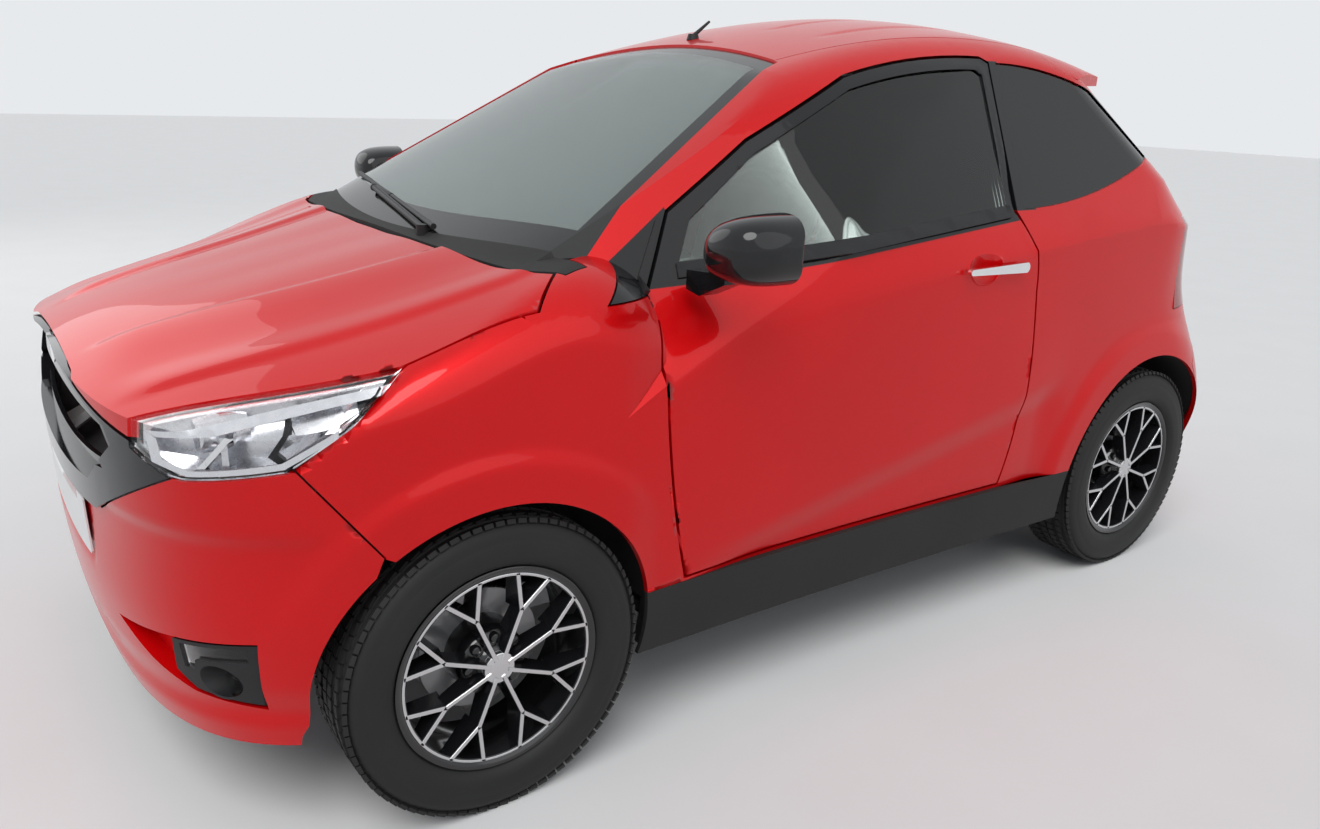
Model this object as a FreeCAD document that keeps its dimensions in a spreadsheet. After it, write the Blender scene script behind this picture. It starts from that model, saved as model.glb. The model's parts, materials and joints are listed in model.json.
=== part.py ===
import FreeCAD, Part
import Sketcher
import math
import os
import re
import time

# Two-seat microcar. Millimetres, +Z up, front towards -Y, the car's left side towards +X.
# Lengths along Y in the tables are measured from the front axle and moved to the frame by at().

V = FreeCAD.Vector
doc = FreeCAD.newDocument("microcar")

# The driving dimensions: alias and value in millimetres or degrees.
DIMENSIONS = [
    ("front_overhang", 555), ("wheelbase", 1922), ("rear_overhang", 438),
    ("tyre_radius", 278.5), ("tyre_width", 155), ("rim_radius", 190), ("bead_radius", 178),
    ("wheel_centre_x", 663.5), ("rim_inset", 5), ("rim_wall", 7), ("hub_face_x", 626), ("spoke_depth", 16),
    ("stub_radius", 20), ("running_gap", 0.05), ("wheel_bolt_circle", 100), ("wheel_bolt_radius", 6.5),
    ("brake_disc_radius", 115), ("brake_disc_width", 9),
    ("front_arch_radius", 312), ("rear_arch_radius", 320), ("liner_radius", 330), ("liner_wall", 4),
    ("skin", 10), ("door_skin", 20), ("wall", 55), ("glass_inset", 5), ("glass_wall", 5),
    ("shut_gap", 6), ("inner_gap", 14), ("seam", 3), ("seat_gap", 0.3), ("sill_top", 339), ("sill_bottom", 252),
    ("king_pin_x", 608), ("king_pin_z", 180), ("king_pin_lean", 92), ("king_pin_rise", 520), ("strut_radius", 22),
    ("king_pin_gap", 1), ("rim_half", 62), ("spoke_plane", 64),
    ("rail_x", 330), ("rail_width", 50), ("rail_height", 65), ("rail_bottom", 150.7),
    ("engine_length", 420), ("engine_depth", 330), ("engine_height", 400), ("engine_bottom", 230),
    ("floor_wall", 20), ("cushion_width", 450), ("cushion_x", 255), ("steering_x", 280),
    ("steering_rim_radius", 180), ("steering_rim_tube", 14), ("steering_tilt", 28),
]
sheet = doc.addObject("Spreadsheet::Sheet", "Sizes")
for row, (alias, value) in enumerate(DIMENSIONS, start=1):
    sheet.set(f"A{row}", alias)
    sheet.set(f"B{row}", str(value))
    sheet.setAlias(f"B{row}", alias)
doc.recompute()
size = {alias: float(sheet.get(alias)) for alias, value in DIMENSIONS}
sheet.set("D1", "=B1 - (B1 + B2 + B3) / 2")
sheet.setAlias("D1", "front_axle")
doc.recompute()

OVERALL_LENGTH = size["front_overhang"] + size["wheelbase"] + size["rear_overhang"]
FRONT_AXLE_Y = size["front_overhang"] - OVERALL_LENGTH / 2
AXLE_Z = size["tyre_radius"]
FAR = 3000


def at(y):
    """Turn a distance behind the front axle into the frame's y."""
    return FRONT_AXLE_Y + y


# Outline and loft helpers
def bezier(*poles):
    curve = Part.BezierCurve()
    curve.setPoles([V(*pole) for pole in poles])
    return curve.toShape()


def mirrored(edges):
    """Return the edges of the right half, then those of the left half, as one closed wire."""
    other = [edge.mirror(V(0, 0, 0), V(1, 0, 0)) for edge in edges]
    return Part.Wire(Part.__sortEdges__(edges + other))


def plan_section(height, slope, nose_y, nose_full, front_x, front_y, rear_x, rear_y, tail_y, tail_full, waist, inset):
    """A closed plan outline in a plane that rises with y by slope: nose curve, side drawn in at the waist, tail curve."""
    def point(x, y):
        return (x, at(y), height + slope * y)
    nose_y, front_x, rear_x, tail_y = nose_y + inset, front_x - inset, rear_x - inset, tail_y - inset
    nose_reach = nose_full * (front_y - nose_y)
    tail_reach = tail_full * (tail_y - rear_y)
    nose = bezier(point(0, nose_y), point(nose_full * front_x, nose_y),
                  point(front_x, front_y - nose_reach), point(front_x, front_y))
    span = rear_y - front_y
    side = bezier(point(front_x, front_y), point(front_x, front_y + 0.15 * span),
                  point(front_x - waist, front_y + 0.4 * span), point(rear_x - waist, rear_y - 0.4 * span),
                  point(rear_x, rear_y - 0.15 * span), point(rear_x, rear_y))
    tail = bezier(point(rear_x, rear_y), point(rear_x, rear_y + tail_reach),
                  point(tail_full * rear_x, tail_y), point(0, tail_y))
    return mirrored([nose, side, tail])


def cross_section(y, centre, edge_x, edge_z, end_x, end_z, inset, flare_x=0, flare_drop=0, bottom=-900):
    """A closed section across the car: crowned top, rounded shoulder, sides flaring out to flare_x or straight."""
    y, centre, edge_z, end_x, end_z = at(y), centre - inset, edge_z - inset, end_x - inset, end_z - inset
    crown = (centre - edge_z) * 2 / edge_x
    top = bezier((0, y, centre), (edge_x * 0.35, y, centre), (edge_x * 0.7, y, edge_z + crown * edge_x * 0.3),
                 (edge_x, y, edge_z))
    reach = (end_x - edge_x)
    shoulder = bezier((edge_x, y, edge_z), (edge_x + reach * 0.6, y, edge_z - crown * reach * 0.6),
                      (end_x - reach * 0.25, y, end_z + reach * 0.25 * flare_drop) if flare_x
                      else (end_x, y, end_z + (edge_z - end_z) * 0.5), (end_x, y, end_z))
    corners = [V(end_x, y, end_z)]
    if flare_x:
        corners.append(V(flare_x, y, end_z - (flare_x - end_x) * flare_drop))
    corners += [V(corners[-1].x, y, bottom), V(0, y, bottom)]
    lines = [Part.LineSegment(*pair).toShape() for pair in zip(corners, corners[1:])]
    return mirrored([top, shoulder] + lines)


# Outer surfaces of the body
# Sides and ends by height: z, nose y, nose fullness, front x, front y, rear x, rear y, tail y, tail fullness, waist
SIDE_SECTIONS = [
    (200, -520, 0.80, 708, 20, 738, 2130, 2325, 0.70, 26),
    (330, -545, 0.80, 728, 20, 760, 2130, 2350, 0.72, 30),
    (520, -555, 0.80, 744, 20, 764, 2070, 2360, 0.74, 28),
    (760, -548, 0.80, 748, 20, 740, 1890, 2262, 0.80, 8),
    (1000, -500, 0.80, 742, 20, 732, 1920, 2165, 0.80, 4),
    (1240, -440, 0.80, 730, 20, 700, 1800, 2070, 0.78, 0),
    (1480, -380, 0.80, 716, 20, 665, 1620, 1940, 0.76, 0),
]
# Bonnet by station: y, centre z, edge x, edge z, end x, end z
BONNET_SECTIONS = [
    (-640, 700, 460, 645, 756, 520),
    (-505, 790, 480, 742, 756, 600),
    (-137, 893, 680, 822, 756, 690),
    (158, 955, 630, 938, 756, 790),
    (330, 960, 560, 930, 724, 770),
]
# Cabin by height: z at the front axle, rise per mm of y, nose y, nose fullness, front x, front y,
# rear x, rear y, tail y, tail fullness, waist
CABIN_SECTIONS = [
    (60, 0.0, -900, 0.70, 790, 100, 1300, 1500, 3200, 0.80, 0),
    (874, 0.091, -29, 0.70, 733, 260, 678, 1890, 2105, 0.74, 0),
    (1480, 0.0, 1080, 0.70, 441, 1200, 444, 1480, 1630, 0.74, 0),
]
# Roof by station: y, centre z, edge x, edge z, end x, end z
ROOF_SECTIONS = [
    (-700, 720, 430, 690, 560, 560),
    (100, 1035, 430, 1005, 580, 870),
    (869, 1342, 430, 1310, 580, 1180),
    (1434, 1423, 440, 1375, 590, 1220),
    (1860, 1347, 480, 1303, 610, 1180),
    (2700, 960, 480, 920, 620, 800),
]
# Underside of the roof's rear lip, in the same columns
LIP_SECTIONS = [
    (1500, 1290, 480, 1268, 610, 1256),
    (1735, 1298, 480, 1276, 610, 1264),
    (1850, 1306, 480, 1281, 610, 1268),
    (2000, 1316, 480, 1290, 610, 1276),
]
ROOF_FLARE_X = 1000
ROOF_FLARE_DROP = 1.5


def outer_body(inset):
    """The closed outer form of the body, drawn in by inset all round."""
    sides = Part.makeLoft([plan_section(row[0], 0, *row[1:], inset) for row in SIDE_SECTIONS], True, False)
    bonnet = Part.makeLoft([cross_section(*row, inset) for row in BONNET_SECTIONS], True, False)
    cabin = Part.makeLoft([plan_section(*row, inset) for row in CABIN_SECTIONS], True, True)
    roof = Part.makeLoft([cross_section(*row, inset, ROOF_FLARE_X, ROOF_FLARE_DROP) for row in ROOF_SECTIONS],
                         True, False)
    top = cabin.common(roof).fuse(bonnet)
    return sides.common(top)


bodies = {}


def body(inset):
    if inset not in bodies:
        bodies[inset] = outer_body(inset)
    return bodies[inset]


def shell(outside, inside, *tools):
    """The wall of the body between two insets, inside every tool."""
    piece = body(outside)
    for tool in tools:
        piece = piece.common(tool)
    return piece.cut(body(inside))


# Prisms
def outline(points, axis, low, high):
    """A prism from a table of points in the plane across axis; a point with a third value starts an arc
    through it: (a, b, "arc") is the middle of an arc between its neighbours."""
    def place(a, b):
        if axis == "x":
            return V(low, at(a), b)
        if axis == "y":
            return V(a, low, b)
        return V(a, at(b), low)
    edges = []
    count = len(points)
    start = points[0]
    index = 1
    while index <= count:
        point = points[index % count]
        if len(point) == 3:
            end = points[(index + 1) % count]
            edges.append(Part.Arc(place(*start[:2]), place(*point[:2]), place(*end[:2])).toShape())
            index += 2
            start = end
        else:
            edges.append(Part.LineSegment(place(*start[:2]), place(*point[:2])).toShape())
            index += 1
            start = point
    return Part.Wire(edges), low, high, axis


def drawn_in(points, distance):
    """The same outline with every edge moved inwards by distance."""
    corners = [V(point[0], point[1]) for point in points]
    count = len(corners)
    area = sum(corners[i - 1].x * corners[i].y - corners[i].x * corners[i - 1].y for i in range(count))
    turn = 1 if area > 0 else -1
    moved = []
    for i, point in enumerate(points):
        before = (corners[i] - corners[i - 1]).normalize()
        after = (corners[(i + 1) % count] - corners[i]).normalize()
        normal_before = V(-before.y, before.x) * turn
        normal_after = V(-after.y, after.x) * turn
        shift = (normal_before + normal_after) * (distance / (1 + normal_before.dot(normal_after)))
        moved.append((corners[i].x + shift.x, corners[i].y + shift.y) + tuple(point[2:]))
    return moved


def prism(points, axis, low, high, inward=0):
    if inward:
        points = drawn_in(points, inward)
    wire, low, high, axis = outline(points, axis, low, high)
    direction = {"x": V(1, 0, 0), "y": V(0, 1, 0), "z": V(0, 0, 1)}[axis]
    return Part.Face(wire).extrude(direction * (high - low))


def block(x0, x1, y0, y1, z0, z1):
    """A box between frame x and z values and y values measured from the front axle."""
    return Part.makeBox(x1 - x0, y1 - y0, z1 - z0, V(x0, at(y0), z0))


def both(shape):
    """A left-hand shape and its mirror image."""
    return Part.makeCompound([shape, shape.mirror(V(0, 0, 0), V(1, 0, 0))])


def across(x0, x1, y, z, radius):
    """A cylinder along X, its axis y measured from the front axle."""
    return Part.makeCylinder(radius, x1 - x0, V(x0, at(y), z), V(1, 0, 0))


def solids(shape):
    """Only the solids of a result, as one shape."""
    found = [solid for solid in shape.Solids if solid.Volume > 20]
    return found[0] if len(found) == 1 else Part.makeCompound(found)


def keep_largest(shape, count=1):
    found = sorted(shape.Solids, key=lambda solid: -solid.Volume)[:count]
    return found[0] if count == 1 else Part.makeCompound(found)


nodes = {}


started = time.time()


def node(label, shape):
    """Add one named sub-part to the document."""
    print(f"{time.time() - started:6.1f} s {label}")
    feature = doc.addObject("Part::Feature", label)
    feature.Label = label
    feature.Shape = shape
    feature.Placement = FreeCAD.Placement()
    nodes[label] = feature
    return feature


# Outlines of the panels on the side of the car: y behind the front axle, z
DOOR = [(392, size["sill_top"] + 6), (340, 560, "arc"), (316, 792), (329, 888), (414, 1025), (618, 1149),
        (903, 1275), (1110, 1316, "arc"), (1335, 1330), (1362, 1318), (1320, 1000), (1352, 930, "arc"), (1370, 824),
        (1382, 580, "arc"), (1346, size["sill_top"] + 6)]
DOOR_WINDOW = [(400, 925), (455, 1010), (630, 1124), (905, 1247), (1110, 1287, "arc"), (1305, 1300), (1325, 1290),
               (1290, 1002)]
SAIL = [(180, 870), (408, 1026), (329, 880)]
QUARTER_WINDOW = [(1352, 1003), (1386, 1318), (1580, 1304, "arc"), (1735, 1266), (1915, 1112), (1640, 1032, "arc")]
WING = [(-700, 900), (-137, 1000), (86, 866), (205, 889), (323, 888), (310, 792), (334, 560, "arc"),
        (386, size["sill_top"] + 6), (386, size["sill_top"]), (200, size["sill_top"]), (-198, 541), (-308, 689),
        (-150, 812)]
FRONT_SEAM = [(-900, 0), (-330, 0), (-318, 220), (-198, 541), (-308, 689), (-900, 689)]
REAR_SEAM = [(2100, 0), (2180, 250), (2205, 420), (2120, 560), (2200, 628), (2500, 632), (2700, 0)]

ARCH_FRONT = across(0, FAR / 2, 0, AXLE_Z, size["front_arch_radius"])
ARCH_REAR = across(0, FAR / 2, size["wheelbase"], AXLE_Z + 8, size["rear_arch_radius"])
ARCHES = [ARCH_FRONT, ARCH_REAR]

skin = size["skin"]
wall = size["wall"]
seat_gap = size["seat_gap"]
seam = size["seam"]
shut_gap = size["shut_gap"]
LEFT = block(0, FAR, -FAR, FAR, -FAR, FAR)


def side_prism(points, inward=0):
    return prism(points, "x", 0, FAR / 2, inward)


def cut_all(shape, *tools):
    return shape.cut(list(tools))


def part_of(shape, *tools):
    for tool in tools:
        shape = shape.common(tool)
    return shape


def pair(label, shape):
    """Two solids, left and right, in one node."""
    return node(label, Part.makeCompound([solids(shape), solids(shape).mirror(V(0, 0, 0), V(1, 0, 0))]))


def left_and_right(label, shape):
    """A left-hand node and its mirror image as a right-hand node."""
    node(f"{label}_left", solids(shape))
    node(f"{label}_right", solids(shape).mirror(V(0, 0, 0), V(1, 0, 0)))


# Bonnet: a shell over the engine bay, inside the shut lines
BONNET_PLAN = [(-492, -900), (-492, -505), (-680, -137), (-706, 84), (-640, 150), (-560, 112), (-300, 84, "arc"),
               (0, 76), (300, 84, "arc"), (560, 112), (640, 150), (706, 84), (680, -137), (492, -505), (492, -900)]
NOSE_TOP_Z = 776
bonnet_tool = prism(BONNET_PLAN, "z", NOSE_TOP_Z - 70, FAR)
bonnet_front = block(-FAR, FAR, -FAR, FAR, NOSE_TOP_Z - 70, FAR)
# a plane that falls to the sides along the bonnet's front edge
BONNET_FRONT_FACE = [(-760, 640), (-500, 716), (-250, 764), (0, 778, "arc"), (250, 764), (500, 716), (760, 640),
                     (760, 1600), (-760, 1600)]
bonnet_above = prism(BONNET_FRONT_FACE, "y", at(-FAR), FAR)
bonnet = shell(0, skin, bonnet_tool, bonnet_above)
node("bonnet", keep_largest(bonnet))

# Outlines of the pieces in the nose and of the scuttle
LAMP_SIDE = [(-560, 800), (-560, 690), (-440, 670), (-318, 690), (-215, 762), (-132, 824), (-250, 830)]
GRILLE_FACE = [(-500, 742), (-500, 700), (-574, 668), (-350, 556), (0, 546, "arc"), (350, 556), (574, 668), (500, 700),
               (500, 742), (0, 820, "arc")]
SLOT_FACE = [(-350, 694), (-408, 642), (0, 624, "arc"), (408, 642), (350, 694), (0, 708, "arc")]
lamp_tool = side_prism(LAMP_SIDE)
lamp_space = side_prism(LAMP_SIDE, -seam)
lamp_space_right = lamp_space.mirror(V(0, 0, 0), V(1, 0, 0))
grille_tool = prism(GRILLE_FACE, "y", at(-FAR), at(-300))
grille_space = prism(GRILLE_FACE, "y", at(-FAR), at(-300), -seam)
slot_tool = prism(SLOT_FACE, "y", at(-FAR), at(-300))
bonnet_space = prism(BONNET_PLAN, "z", NOSE_TOP_Z - 70, FAR, -shut_gap).common(
    prism(BONNET_FRONT_FACE, "y", at(-FAR), FAR, -shut_gap))
SCUTTLE_PLAN = [(-654, 166), (-566, 121), (-302, 92, "arc"), (0, 84), (302, 92, "arc"), (566, 121), (654, 166),
                (640, 214), (597, 206), (0, 108, "arc"), (-597, 206), (-640, 214)]
scuttle_space = prism(SCUTTLE_PLAN, "z", 840, FAR, -seam)
drums = []
for place_y, inner in ((0, 430 - seat_gap), (size["wheelbase"], 556 - seat_gap)):
    drums.append(across(inner, FAR, place_y, AXLE_Z, size["liner_radius"] + size["liner_wall"] + seat_gap))
under_skin = body(skin)
under_skin_seat = body(skin + seat_gap)

# Doors: outer layer with a narrow gap and inner layer stepped back from the opening
door_cutter = side_prism(DOOR)
door_window = side_prism(DOOR_WINDOW)
door_outer = shell(0, size["door_skin"], side_prism(DOOR, shut_gap))
door_inner = shell(size["door_skin"], wall, side_prism(DOOR, size["inner_gap"]))
bowl_scale = FreeCAD.Matrix()
bowl_scale.scale(14, 56, 42)
handle_bowl = Part.makeSphere(1).transformGeometry(bowl_scale)
handle_bowl.translate(V(738, at(1172), 892))
door = cut_all(door_outer.fuse(door_inner), door_window, handle_bowl)
left_and_right("door", keep_largest(part_of(door, LEFT)))
GLASS = (size["glass_inset"], size["glass_inset"] + size["glass_wall"])
left_and_right("door_glass", shell(*GLASS, side_prism(DOOR_WINDOW, seat_gap)))

# Header over the tailgate: seen from behind, and from the side above the quarter glass
HEADER_FACE = [(-700, 1500), (-700, 1222), (-480, 1247), (0, 1297, "arc"), (480, 1247), (700, 1222), (700, 1500)]
HEADER_SIDE = [(1600, 1600), (1600, 1318), (1740, 1276), (1840, 1220), (2300, 1080), (2300, 1600)]
LIP_PLAN = [(-548, 1602), (-545, 1690), (-503, 1840), (0, 1912, "arc"), (503, 1840), (545, 1690), (548, 1602)]


def header_zone(grow=0):
    face = prism(HEADER_FACE, "y", at(1600 - grow), at(2300), -grow)
    return face.common(prism(HEADER_SIDE, "x", -FAR / 2, FAR / 2, -grow))


# Side frames: windscreen pillar, cant rail, rear pillar and quarter panel in one
ROOF_PLAN = [(-405, 700), (-405, 812), (-452, 1200, "arc"), (-470, 1800), (-470, 2000), (470, 2000), (470, 1800),
             (452, 1200, "arc"), (405, 812), (405, 700)]
roof_tool = prism(ROOF_PLAN, "z", 1100, FAR)
SCREEN_PLAN = [(-597, 206), (0, 108, "arc"), (597, 206), (420, 812),
               (200, 838, "arc"), (0, 846), (-200, 838, "arc"), (-420, 812)]
screen_tool = prism(SCREEN_PLAN, "z", 860, FAR)
TAILGATE_FACE = [(-470, 640), (-545, 760), (-612, 960), (-606, 1080), (-515, 1236), (0, 1290, "arc"), (515, 1236),
                 (606, 1080), (612, 960), (545, 760), (470, 640)]
tailgate_tool = prism(TAILGATE_FACE, "y", at(1650), at(2700))
REAR_GLASS_FACE = [(-584, 1000), (-580, 1075), (-495, 1215), (0, 1262, "arc"), (495, 1215), (580, 1075), (584, 1000)]
rear_glass_tool = prism(REAR_GLASS_FACE, "y", at(1650), at(2700))
TAIL_LAMP_FACE = [(560, 735), (620, 960), (760, 968), (760, 720)]
tail_lamp_tool = prism(TAIL_LAMP_FACE, "y", at(1990), at(2700))
quarter_window = side_prism(QUARTER_WINDOW)
outboard = block(655, FAR, -FAR, FAR, 0, FAR)
side_frame = shell(0, wall, block(0, FAR, 60, FAR, size["sill_top"], FAR))
side_frame = cut_all(side_frame, door_cutter, quarter_window, roof_tool, screen_tool, tailgate_tool,
                     tail_lamp_tool, side_prism(REAR_SEAM, -seam), side_prism(SAIL).common(outboard), ARCH_REAR,
                     header_zone(seat_gap), bonnet_space, scuttle_space, *[drum.common(under_skin) for drum in drums])
# behind the wing the pillar stands inside the wing's skin
under_wing = prism([(-900, 0), (-900, 1000), (-137, 1000), (86, 866), (205, 889), (323, 888), (310, 792), (334, 560, "arc"),
                    (386, size["sill_top"] + 6), (392, 0)], "x", 0, FAR / 2)
hinge_pillar = shell(skin + seat_gap, wall, under_wing, block(450, FAR, 245, FAR, size["sill_top"], 905))
side_frame = keep_largest(cut_all(side_frame, under_wing)).fuse(cut_all(hinge_pillar, *drums))
pair("side_frames", keep_largest(side_frame))
pair("quarter_glass", shell(*GLASS, side_prism(QUARTER_WINDOW, seat_gap)))
sail = shell(0, skin, side_prism(SAIL, seam).common(outboard))
pair("sail_panels", keep_largest(sail.cut(side_prism(WING, -seam))))

# Roof with its rear lip, windscreen, tailgate
roof_panel = shell(0, skin, prism(drawn_in(ROOF_PLAN, seam), "z", 1100, FAR), block(-FAR, FAR, 700, 1640, 1150, FAR))
roof_panel = roof_panel.cut(prism(drawn_in(SCREEN_PLAN, -seam), "z", 860, FAR))
header = shell(0, 28, header_zone())
over = Part.makeLoft([cross_section(*row, 0, ROOF_FLARE_X, ROOF_FLARE_DROP) for row in ROOF_SECTIONS], True, False)
under = Part.makeLoft([cross_section(*row, 0, ROOF_FLARE_X, ROOF_FLARE_DROP) for row in LIP_SECTIONS], True, False)
lip = part_of(over, prism(LIP_PLAN, "z", 1150, FAR), prism(HEADER_SIDE, "x", -FAR / 2, FAR / 2)).cut(under)
roof_panel = keep_largest(roof_panel).fuse([keep_largest(header), keep_largest(lip)])
node("roof", keep_largest(roof_panel))
node("windscreen", keep_largest(shell(*GLASS, prism(SCREEN_PLAN, "z", 860, FAR, seat_gap), block(-FAR, FAR, 60, 846, 900, FAR))))
tailgate = shell(0, 28, prism(TAILGATE_FACE, "y", at(1650), at(2700), shut_gap))
node("tailgate", keep_largest(cut_all(tailgate, rear_glass_tool)))
node("tailgate_glass", keep_largest(shell(*GLASS, prism(REAR_GLASS_FACE, "y", at(1650), at(2700), seat_gap))))
pair("tail_lamps", keep_largest(shell(0, 60, prism(TAIL_LAMP_FACE, "y", at(1990), at(2700), seam), LEFT)))

# Wings, bumpers
wing = shell(0, skin, side_prism(WING))
wing = cut_all(wing, bonnet_space, ARCH_FRONT, side_prism(FRONT_SEAM, -seam), lamp_space)
pair("front_wings", keep_largest(wing))
front_zone = prism(FRONT_SEAM, "x", -FAR / 2, FAR / 2)
front_bumper = shell(0, skin, front_zone)
front_bumper = cut_all(front_bumper, ARCH_FRONT, ARCH_FRONT.mirror(V(0, 0, 0), V(1, 0, 0)), grille_space,
                       lamp_space, lamp_space_right)
FOG_FACE = [(365, 368), (532, 391), (650, 403), (635, 275), (541, 289)]
POD_FACE = [(520, 382), (644, 397), (630, 282), (544, 295), (512, 322)]
LED_FACE = [(533, 377), (632, 389), (630, 363), (556, 353), (552, 334), (533, 334)]
FOG_LAMP = (586, 320)
POCKET_DEPTH = 28
POCKET_BACK = 40
fog_tool = prism(FOG_FACE, "y", at(-FAR), at(-300))
led_tool = prism(LED_FACE, "y", at(-FAR), at(-300))
tow_y, tow_reach = -515, 55
TOW_EYE = (-355, 457)
tow_mouth = Part.makeCylinder(16, 105, V(TOW_EYE[0], at(tow_y - 105), TOW_EYE[1]), V(0, 1, 0))


def fog_bore(radius, low, high):
    """A cylinder along the fog lamp's axis between two distances behind the front axle."""
    return Part.makeCylinder(radius, high - low, V(FOG_LAMP[0], at(low), FOG_LAMP[1]), V(0, 1, 0))


pocket = shell(0, POCKET_BACK, prism(FOG_FACE, "y", at(-FAR), at(-300), -7))
pocket = cut_all(pocket, fog_tool.cut(body(POCKET_DEPTH + seat_gap)), fog_bore(34 + seat_gap, -FAR, 0),
                 drums[0].common(under_skin))
front_bumper = cut_all(front_bumper, fog_tool, fog_tool.mirror(V(0, 0, 0), V(1, 0, 0)), tow_mouth)
front_bumper = front_bumper.fuse([pocket, pocket.mirror(V(0, 0, 0), V(1, 0, 0))])
node("front_bumper", keep_largest(front_bumper))
rear_zone = prism(REAR_SEAM, "x", -FAR / 2, FAR / 2)
rear_bumper = shell(0, skin, rear_zone)
rear_bumper = cut_all(rear_bumper, prism(TAILGATE_FACE, "y", at(1650), at(2700), -1), tail_lamp_tool,
                      tail_lamp_tool.mirror(V(0, 0, 0), V(1, 0, 0)), ARCH_REAR,
                      ARCH_REAR.mirror(V(0, 0, 0), V(1, 0, 0)))
node("rear_bumper", keep_largest(rear_bumper))

# Sills between the arches
sill = shell(0, wall, block(0, FAR, 250, 1660, 0, size["sill_top"] - seat_gap))
sill = cut_all(sill, ARCH_FRONT, ARCH_REAR, *[drum.common(under_skin) for drum in drums])
pair("sills", keep_largest(sill))

# Headlamps, grille mask and fog lamps in the nose
pair("headlamp_lenses", keep_largest(cut_all(shell(0, 5, lamp_tool), bonnet_space, grille_space)))
LAMP_DEPTH = 40
rim_room = 11
above_lamp = prism(BONNET_PLAN, "z", NOSE_TOP_Z - 90, FAR, -shut_gap - rim_room).common(
    prism(BONNET_FRONT_FACE, "y", at(-FAR), FAR, -shut_gap - rim_room))
chambers = cut_all(side_prism(LAMP_SIDE, rim_room), body(LAMP_DEPTH), block(0, FAR, -392, -384, 0, FAR),
                   above_lamp, prism(GRILLE_FACE, "y", at(-FAR), at(-300), -seam - rim_room))
bulbs = [Part.makeCylinder(28, 70, V(585, at(-414), 731), V(0, 1, 0)),
         Part.makeCylinder(24, 70, V(684, at(-300), 765), V(0, 1, 0))]
lamp_body = cut_all(under_skin_seat.common(lamp_tool).cut(body(60)), chambers)
lamp_body = lamp_body.fuse([part_of(bulb, under_skin_seat) for bulb in bulbs])
pair("headlamps", keep_largest(cut_all(lamp_body, bonnet_space, grille_space)))
MASK_DEPTH = 28
MASK_FACE = [(-425, 716), (-446, 690), (-330, 602), (0, 590, "arc"), (330, 602), (446, 690), (425, 716), (0, 772, "arc")]
mask_recess = prism(MASK_FACE, "y", at(-FAR), at(-300)).cut(body(size["door_skin"]))
grille = cut_all(shell(0, MASK_DEPTH, grille_tool), bonnet_space, mask_recess, slot_tool)
node("grille", keep_largest(grille))
pod = shell(5, POCKET_DEPTH, prism(POD_FACE, "y", at(-FAR), at(-300))).cut(drums[0].common(under_skin))
pod = pod.cut(led_tool.cut(under_skin_seat)).fuse(part_of(fog_bore(34, -520, -368), body(5)))
pair("fog_lamps", keep_largest(pod.cut(fog_bore(29, -FAR, -386))))
lenses = shell(5, skin, prism(LED_FACE, "y", at(-FAR), at(-300), seat_gap))
pair("fog_lenses", Part.makeCompound([keep_largest(lenses), fog_bore(29 - seat_gap, -404, -386 - seat_gap)]))

# Chassis: two rails, cross members, bumper beams, engine pads, strut towers
def expression(text):
    return re.sub(r"\b([a-z][a-z_]+)\b", r"Sizes.\1", str(text))


def primitive(kind, name, place, turn=None, **sizes):
    """A solid whose sizes and place are worked out in the sheet's cells."""
    item = doc.addObject(f"Part::{kind}", name)
    if turn:
        item.Placement = FreeCAD.Placement(V(), FreeCAD.Rotation(V(*turn[0]), turn[1]))
    for key, value in sizes.items():
        item.setExpression(key, expression(value))
    for letter, value in zip("xyz", place):
        item.setExpression(f"Placement.Base.{letter}", expression(value))
    return item


def fused(name, *items):
    group = doc.addObject("Part::MultiFuse", name)
    group.Shapes = list(items)
    return group


def less(name, base, tool):
    result = doc.addObject("Part::Cut", name)
    result.Base = base
    result.Tool = tool
    return result


def flipped(name, source):
    """The mirror image of an object on the other side of the car."""
    result = doc.addObject("Part::Mirroring", name)
    result.Source = source
    result.Normal = V(1, 0, 0)
    return result


def final(label, item):
    item.Label = label
    nodes[label] = item
    print(f"{time.time() - started:6.1f} s {label}")
    return item


def box(name, x, y, z, length, width, height):
    """A box from its lowest corner; y is measured from the front axle."""
    return primitive("Box", name, (x, f"front_axle + {y}", z), Length=length, Width=width, Height=height)


def rod(name, x, y, z, radius, length, direction):
    turn = {"x": ((0, 1, 0), 90), "y": ((1, 0, 0), -90), "z": None}[direction]
    return primitive("Cylinder", name, (x, f"front_axle + {y}", z), turn, Radius=radius, Height=length)


rails = []
for side, sign in (("left", ""), ("right", "-")):
    rails.append(box(f"rail_{side}", f"{sign}rail_x - rail_width / 2", -440, "rail_bottom", "rail_width",
                     "2600", "rail_height"))
for index, y in enumerate((-440, -210, 40, 700, 1180, 1640, 2080)):
    rails.append(box(f"cross_member_{index}", "-rail_x", y, "rail_bottom + rail_height - 22", "2 * rail_x", "60", "22"))
for index, (x, y) in enumerate(((-200, -210), (140, -210), (-200, 40), (140, 40))):
    rails.append(box(f"engine_pad_{index}", x, y, "rail_bottom + rail_height - 1", "60", "60",
                     "engine_bottom - rail_bottom - rail_height + 1 - seat_gap"))
chassis = fused("chassis_parts", *rails)
engine = final("engine_block", box("engine", "-engine_length / 2", -230, "engine_bottom", "engine_length",
                                   "engine_depth", "engine_height"))
doc.recompute()

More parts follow.
